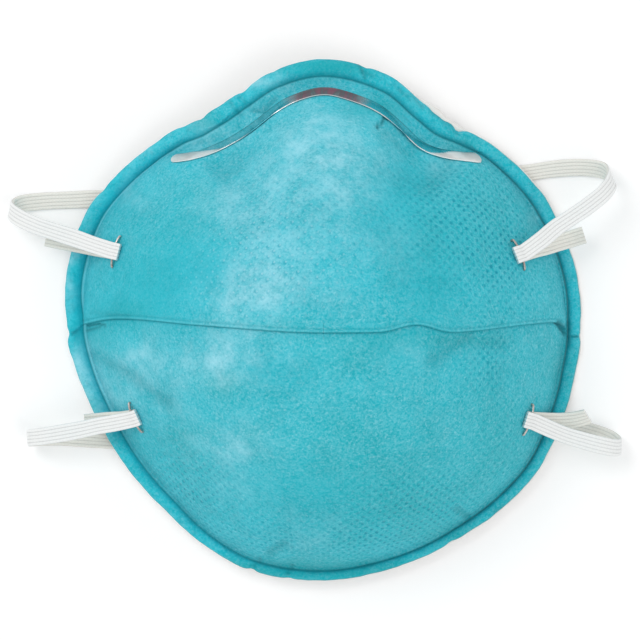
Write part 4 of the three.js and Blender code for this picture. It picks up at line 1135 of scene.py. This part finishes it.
def new_group(name, inputs, outputs):
    group = bpy.data.node_groups.new(name, "ShaderNodeTree")
    group.interface.new_socket("Vector", in_out="INPUT", socket_type="NodeSocketVector")
    for socket, value in inputs.items():
        item = group.interface.new_socket(socket, in_out="INPUT", socket_type="NodeSocketFloat")
        item.default_value = value
    for socket in outputs:
        group.interface.new_socket(socket, in_out="OUTPUT", socket_type="NodeSocketFloat")
    nodes = Nodes(group)
    return group, nodes, nodes.add("NodeGroupInput").outputs, nodes.add("NodeGroupOutput").inputs


def fibre_web_group():
    """Fine matted fibres: pale flecks, the dark between them and the height of the mat."""
    outputs = ["Flecks", "Grain", "Dark", "Height"]
    group, n, given, out = new_group("fibre_web", {"Fibre": 1800.0, "Tangle": 1.5}, outputs)
    strands = None
    for angle in (0.35, 1.4, 2.45):
        turn = {"Vector": given["Vector"], "Axis": (0.25, 0.15, 1.0), "Angle": angle}
        turned = n.add("ShaderNodeVectorRotate", turn).outputs[0]
        drawn = n.vector("MULTIPLY", turned, (1.0, 0.3, 1.0))
        strand = n.span(n.noise(drawn, given["Fibre"], 1.0, 0.5, given["Tangle"]), 0.52, 0.8)
        strands = strand if strands is None else n.math("MAXIMUM", strands, strand)
    grain = n.noise(given["Vector"], n.times(given["Fibre"], 0.9), 2.0, 0.7)
    n.join(out["Flecks"], n.times(strands, n.span(grain, 0.35, 0.6)))
    n.join(out["Grain"], n.span(grain, 0.34, 0.66))
    n.join(out["Dark"], n.span(grain, 0.48, 0.3))
    n.join(out["Height"], n.math("ADD", n.times(strands, 0.5), grain))
    return group


def bond_points_group():
    """Points where a web is bonded, on a centred lattice of the flat sheet."""
    inputs = {"Across": 0.0032, "Up": 0.003, "Size": 0.16}
    group, n, given, out = new_group("bond_points", inputs, ["Spot"])
    pitch = {"X": given["Across"], "Y": given["Up"], "Z": 1.0}
    cell = n.vector("DIVIDE", given["Vector"], n.add("ShaderNodeCombineXYZ", pitch).outputs[0])
    nearest = None
    for shift in ((0.0, 0.0, 0.0), (0.5, 0.5, 0.0)):
        inside = n.vector("FRACTION", n.vector("ADD", cell, shift))
        away = n.vector("MULTIPLY", n.vector("SUBTRACT", inside, (0.5, 0.5, 0.0)), (1.0, 0.9, 0.0))
        distance = n.vector("LENGTH", away, out=1)
        nearest = distance if nearest is None else n.math("MINIMUM", nearest, distance)
    n.join(out["Spot"], n.span(nearest, given["Size"], n.times(given["Size"], 0.35)))
    return group


def new_material(name):
    material = bpy.data.materials.new(name)
    material.use_nodes = True
    return material, Nodes(material.node_tree), material.node_tree.nodes["Principled BSDF"].inputs


# Painted shade and highlights laid over the cover's dye, in order: mask, share, colour.
COVER_PAINTED_LIGHT = [
    # painted shadow under the lap's lip and in the crease above it
    ("fold_shadow", 0.6, (0.004, 0.29, 0.35)),
    # painted highlight along the ridge of the hem
    ("hem_highlight", 0.12, (0.30, 0.80, 0.90)),
    # painted shade in the creases
    ("crease", 0.75, (0.006, 0.12, 0.15)),
    # painted shade on the rim beside the groove and in it
    ("groove_shade", 0.3, (0.004, 0.34, 0.44)),
    # painted shade at the foot of the wall
    ("well", 0.45, (0.005, 0.26, 0.31)),
    # painted shade on the rim beside the groove
    ("band", 0.8, (0.002, 0.465, 0.585)),
    # painted shade line in the groove
    ("line", 0.7, (0.004, 0.13, 0.17)),
    # painted highlight along the groove's inner side
    ("groove_highlight", 0.5, (0.22, 0.70, 0.82)),
    # painted shade in the groove, by direction
    ("groove_shadow", 0.5, (0.008, 0.18, 0.21)),
]


def cover_material(fibre_web, bond_points):
    material, n, shader = new_material("dyed_nonwoven")
    place, web = n.place(), n.flat()
    fibres = n.group(fibre_web, Vector=place, Fibre=1700.0, Tangle=0.9)
    stray = n.add("ShaderNodeTexNoise", {"Vector": web, "Scale": 120.0}).outputs["Color"]
    stray = n.vector("MULTIPLY", n.vector("SUBTRACT", stray, (0.5, 0.5, 0.5)), (0.0012, 0.0012, 0.0))
    warped = n.vector("ADD", web, stray)
    # bond points drawn twice, shifted apart: darker spots (own tone with painted shade) and painted
    # highlights
    below = n.vector("ADD", warped, (0.0001, 0.0001, 0.0))
    beside = n.vector("SUBTRACT", warped, (0.00012, 0.0001, 0.0))
    pits = n.group(bond_points, Vector=below, Size=0.23)["Spot"]
    glint_spots = n.group(bond_points, Vector=beside, Size=0.13)["Spot"]
    patchy = n.span(n.noise(place, 260.0), 0.3, 0.6, 0.4, 1.0)
    glint = n.times(glint_spots, n.times(n.mask("glints"), patchy))
    pit = n.times(pits, n.times(n.mask("bonds"), patchy))
    clear = n.times(n.without("vivid", 0.75), n.without("bonds", 0.3), n.without("rim", 0.4))

    depth = n.span(n.noise(place, 95.0, 4.0, 0.6), 0.3, 0.7)
    fine = n.span(n.noise(place, 620.0, 3.0, 0.65), 0.3, 0.7)
    rim, deep = n.mask("rim"), n.mask("deep")
    folds = n.noise(place, 520.0, 3.0, 0.6, 0.6)
    thin = n.span(n.noise(place, 230.0, 5.0, 0.7), 0.32, 0.68)
    cloud = n.times(n.mask("cloud"), n.math("MULTIPLY_ADD", thin, 0.85, 0.3))
    pale = n.math("MULTIPLY_ADD", cloud, 0.65, n.times(thin, clear, 0.06))
    laid = n.add("ShaderNodeMapping", {"Vector": place, "Rotation": (0.0, 0.0, -0.2)}).outputs[0]
    ridge = n.span(n.noise(n.vector("MULTIPLY", laid, (0.12, 1.0, 0.3)), 620.0, 1.0), 0.35, 0.65)
    ridges = n.mask("ridges")
    # painted shade in the hollows between the web's faint ridges
    hollow_shade = n.times(n.math("SUBTRACT", 1.0, ridge), ridges)

    dye = n.blend(depth, (0.008, 0.40, 0.49), (0.022, 0.49, 0.60))
    for share, shade in (
        (n.times(fine, 0.4), (0.05, 0.57, 0.68)),
        (n.times(rim, 0.45), (0.003, 0.55, 0.67)),
        (n.times(rim, n.span(folds, 0.5, 0.3, 0.0, 0.45)), (0.003, 0.33, 0.42)),
        (n.times(rim, n.span(folds, 0.5, 0.7, 0.0, 0.35)), (0.06, 0.66, 0.78)),
        # fuller dye, with painted shade under the lap, on the lower right and on the bottom rim
        (n.times(deep, 0.6), (0.005, 0.36, 0.395)),
        # the rim darker still where the dye is fuller: painted shade on the bottom rim
        (n.times(rim, deep, 0.35), (0.004, 0.30, 0.34)),
        (pale, (0.44, 0.80, 0.92)),
        (n.times(fibres["Grain"], clear, 0.2), (0.30, 0.78, 0.88)),
        (n.times(fibres["Flecks"], clear, 0.24), (0.50, 0.86, 0.95)),
        (n.times(fibres["Dark"], 0.16), (0.004, 0.30, 0.38)),
        (n.times(hollow_shade, 0.22), (0.004, 0.30, 0.36)),
    ):
        dye = n.blend(share, dye, shade)
    # darker bond points: their own tone together with painted shade on one side
    dye = n.blend(pit, dye, (0.22, 0.66, 0.74), "MULTIPLY")
    # painted highlight on the bond points' other side
    dye = n.blend(n.times(glint, 0.5), dye, (0.55, 0.88, 0.96))
    for mask, share, shade in COVER_PAINTED_LIGHT:
        dye = n.blend(n.mask(mask, share), dye, shade)
    # the deepest of the painted groove shade, darkened further towards grey
    dye = n.blend(n.times(n.span(n.mask("groove_shadow"), 0.75, 1.0), 0.4), dye, (0.12, 0.22, 0.22))
    dye = n.blend(n.mask("brown", 0.5), dye, (0.16, 0.25, 0.22))
    n.join(shader["Base Color"], dye)
    n.join(shader["Roughness"], n.span(fine, 0.0, 1.0, 0.82, 0.94))
    shader["Sheen Weight"].default_value = 0.05
    shader["Sheen Roughness"].default_value = 0.5
    shader["Specular IOR Level"].default_value = 0.12

    low = n.bump(n.noise(place, 260.0, 3.0, 0.55), 0.35, 0.0006)
    low = n.bump(n.times(ridge, ridges), 0.5, 0.0004, low)
    dots = n.bump(n.times(pit, -1.0), 0.4, 0.0002, low)
    n.join(shader["Normal"], n.bump(fibres["Height"], 0.45, 0.00012, dots))
    return material


def liner_material(fibre_web):
    material, n, shader = new_material("moulded_felt")
    place = n.place()
    fibres = n.group(fibre_web, Vector=place, Fibre=1100.0, Tangle=2.0)
    shade = n.span(n.noise(place, 140.0, 3.0, 0.6), 0.3, 0.7)
    felt = n.blend(shade, (0.80, 0.79, 0.76), (0.88, 0.87, 0.85))
    felt = n.blend(n.times(fibres["Flecks"], 0.4), felt, (0.93, 0.93, 0.92))
    n.join(shader["Base Color"], felt)
    n.join(shader["Roughness"], n.span(shade, 0.0, 1.0, 0.88, 0.96))
    n.join(shader["Normal"], n.bump(fibres["Height"], 0.5, 0.00015))
    shader["Sheen Weight"].default_value = 0.15
    return material


def elastic_material():
    material, n, shader = new_material("braided_elastic")
    flat = n.flat()
    parts = n.add("ShaderNodeSeparateXYZ", {"Vector": flat}).outputs
    rib = n.math("ADD", n.times(parts[1], STRAP_RIBS / (STRAP_WIDTH * MM)), 0.5)
    inside = n.math("ABSOLUTE", n.math("SUBTRACT", n.math("FRACT", rib), 0.5))
    valley = n.span(inside, 0.36, 0.5)
    slanted = n.math("ADD", n.times(parts[0], 1 / (PICK * MM)), n.times(inside, 1.3))
    thread = n.math("ABSOLUTE", n.math("SUBTRACT", n.math("FRACT", slanted), 0.5))
    loose = n.noise(flat, 900.0, 2.0, 0.6)
    yarn = n.blend(n.times(valley, 0.68), (0.87, 0.89, 0.885), (0.59, 0.61, 0.60))
    yarn = n.blend(n.times(n.span(thread, 0.32, 0.5), 0.22), yarn, (0.62, 0.63, 0.62))
    yarn = n.blend(n.times(n.span(loose, 0.35, 0.7), 0.18), yarn, (0.95, 0.955, 0.95))
    yarn = n.blend(n.mask("inner", 0.7), yarn, (0.95, 0.91, 0.83), "MULTIPLY")
    n.join(shader["Base Color"], yarn)
    n.join(shader["Roughness"], n.span(loose, 0.2, 0.8, 0.7, 0.85))
    shader["Sheen Weight"].default_value = 0.1
    weave = n.math("SUBTRACT", n.times(thread, -0.6), valley)
    n.join(shader["Normal"], n.bump(weave, 0.6, 0.00015, n.bump(loose, 0.2, 0.0001)))
    return material


def clip_material():
    material, n, shader = new_material("rolled_aluminium")
    flat = n.flat()
    drawn = n.add("ShaderNodeMapping", {"Vector": flat, "Scale": (40.0, 1600.0, 1.0)}).outputs[0]
    lines = n.noise(drawn, 1.0, 3.0, 0.6)
    smudge = n.noise(n.place(), 180.0, 3.0, 0.6)
    streak = n.noise(n.vector("MULTIPLY", flat, (420.0, 60.0, 1.0)), 1.0, 3.0, 0.6)
    dull, dark, edge = n.mask("dull"), n.mask("dark"), n.mask("edge")
    metal = n.blend(n.span(smudge, 0.3, 0.7), (0.64, 0.64, 0.65), (0.80, 0.80, 0.81))
    paler_tone = n.blend(n.span(smudge, 0.35, 0.65), (0.74, 0.69, 0.67), (0.90, 0.865, 0.85))
    painted_red_reflection = n.blend(n.span(streak, 0.4, 0.62), (0.15, 0.11, 0.105), (0.34, 0.09, 0.12))
    for share, shade in (
        # duller finish with a painted reflection of the pale floor at the ends
        (dull, paler_tone),
        # painted reflection of something dark red, in the middle of the strip
        (n.times(dark, n.span(streak, 0.25, 0.5, 0.8, 1.0)), painted_red_reflection),
        # painted shade along the strip's upper edge
        (n.mask("rim", 0.8), (0.16, 0.17, 0.17)),
        # painted reflection of the teal cloth on the lower edge
        (n.mask("sunk"), (0.05, 0.34, 0.41)),
        # painted highlight: the lower edge near white and fully metallic
        (edge, (0.95, 0.95, 0.94)),
    ):
        metal = n.blend(share, metal, shade)
    n.join(shader["Base Color"], metal)
    # metallic: less in the painted red reflection, full on the painted edge highlight
    n.join(shader["Metallic"], n.math("MAXIMUM", n.math("MULTIPLY_ADD", dark, -0.75, 1.0), edge))
    gloss = n.math("ADD", n.span(lines, 0.3, 0.7, 0.07, 0.13), n.span(smudge, 0.4, 0.8, 0.0, 0.06))
    n.join(shader["Roughness"], n.math("ADD", gloss, n.times(dull, 0.42)))
    n.join(shader["Normal"], n.bump(lines, 0.12, 0.00005))
    return material


def staple_material():
    material, n, shader = new_material("drawn_wire")
    place = n.place()
    paler_tone = n.span(n.noise(place, 900.0, 3.0, 0.6), 0.35, 0.65)
    n.join(shader["Base Color"], n.blend(paler_tone, (0.40, 0.33, 0.30), (0.60, 0.55, 0.52)))
    shader["Metallic"].default_value = 1.0
    n.join(shader["Roughness"], n.span(paler_tone, 0.0, 1.0, 0.48, 0.3))
    n.join(shader["Normal"], n.bump(n.noise(place, 2600.0), 0.15, 0.00005))
    return material


def paper_material():
    material, n, shader = new_material("pale_paper")
    tone = n.span(n.noise(n.place(), 3.0), 0.3, 0.7)
    n.join(shader["Base Color"], n.blend(tone, (0.955, 0.955, 0.955), (0.97, 0.97, 0.97)))
    shader["Roughness"].default_value = 0.9
    # the floor glows faintly: painted light that lifts the cup's shadow on it and lights the cup from
    # below
    shader["Emission Color"].default_value = (1, 1, 1, 1)
    shader["Emission Strength"].default_value = 0.08
    return material


# ---- building ---------------------------------------------------------------------------

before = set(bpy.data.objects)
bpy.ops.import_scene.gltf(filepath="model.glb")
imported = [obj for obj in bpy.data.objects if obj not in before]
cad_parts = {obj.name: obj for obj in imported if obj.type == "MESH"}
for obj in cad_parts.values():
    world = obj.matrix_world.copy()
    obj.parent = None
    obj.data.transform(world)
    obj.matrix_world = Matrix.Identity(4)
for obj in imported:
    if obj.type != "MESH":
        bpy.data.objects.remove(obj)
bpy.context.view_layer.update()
bpy.ops.object.select_all(action="DESELECT")

fibre_web = fibre_web_group()
bond_points = bond_points_group()
elastic = elastic_material()
wire = staple_material()

pieces = [
    (build_cover(), cover_material(fibre_web, bond_points), "outer_cover", "cover_fabric"),
    (build_liner(), liner_material(fibre_web), "inner_shell", "liner_felt"),
    (build_clip(), clip_material(), "nose_clip", "clip_aluminium"),
]
for strap in STRAPS:
    pieces.append((build_strap(strap), elastic, strap, "strap_elastic"))
for anchor in ANCHORS:
    pieces.append((build_staple(anchor), wire, f"staple_{anchor}", "staple_wire"))

for piece, material, node, slot in pieces:
    piece.data.materials.append(material)
    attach(piece, "root")
    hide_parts(node)

# ---- floor, light and camera ------------------------------------------------------------

bpy.ops.mesh.primitive_plane_add(size=14.0)
floor = bpy.context.object
floor.name = "floor"
floor.data.materials.append(paper_material())

scene = bpy.context.scene
scene.view_settings.view_transform = "Standard"
scene.world = bpy.data.worlds.new("studio")
scene.world.use_nodes = True
sky = scene.world.node_tree.nodes["Background"].inputs
sky["Color"].default_value = (1, 1, 1, 1)
sky["Strength"].default_value = 0.74


def softbox(name, place, aim, size, power):
    bpy.ops.object.light_add(type="AREA", location=place)
    lamp = bpy.context.object
    lamp.name = name
    lamp.data.shape = "DISK"
    lamp.data.size = size
    lamp.data.energy = power
    gaze = np.array(aim) - np.array(place)
    tilt = math.acos(-gaze[2] / float(np.linalg.norm(gaze)))
    lamp.rotation_euler = (tilt, 0, math.atan2(gaze[1], gaze[0]) - math.pi / 2)


softbox("key_softbox", (-0.75, 0.6, 1.25), (0, 0, 0.02), 0.9, 6.0)
softbox("fill_softbox", (0.8, -0.7, 1.3), (0, 0, 0.02), 1.2, 4.4)

VIEW_MIDDLE = (0.0013, 0.0001)
VIEW_WIDTH = 0.158
RIM_TOP = 0.006
SENSOR = 36.0
LENS = 500.0
bpy.ops.object.camera_add(location=(*VIEW_MIDDLE, VIEW_WIDTH * LENS / SENSOR + RIM_TOP))
camera = bpy.context.object
camera.data.lens = LENS
camera.data.clip_end = 30.0
scene.camera = camera
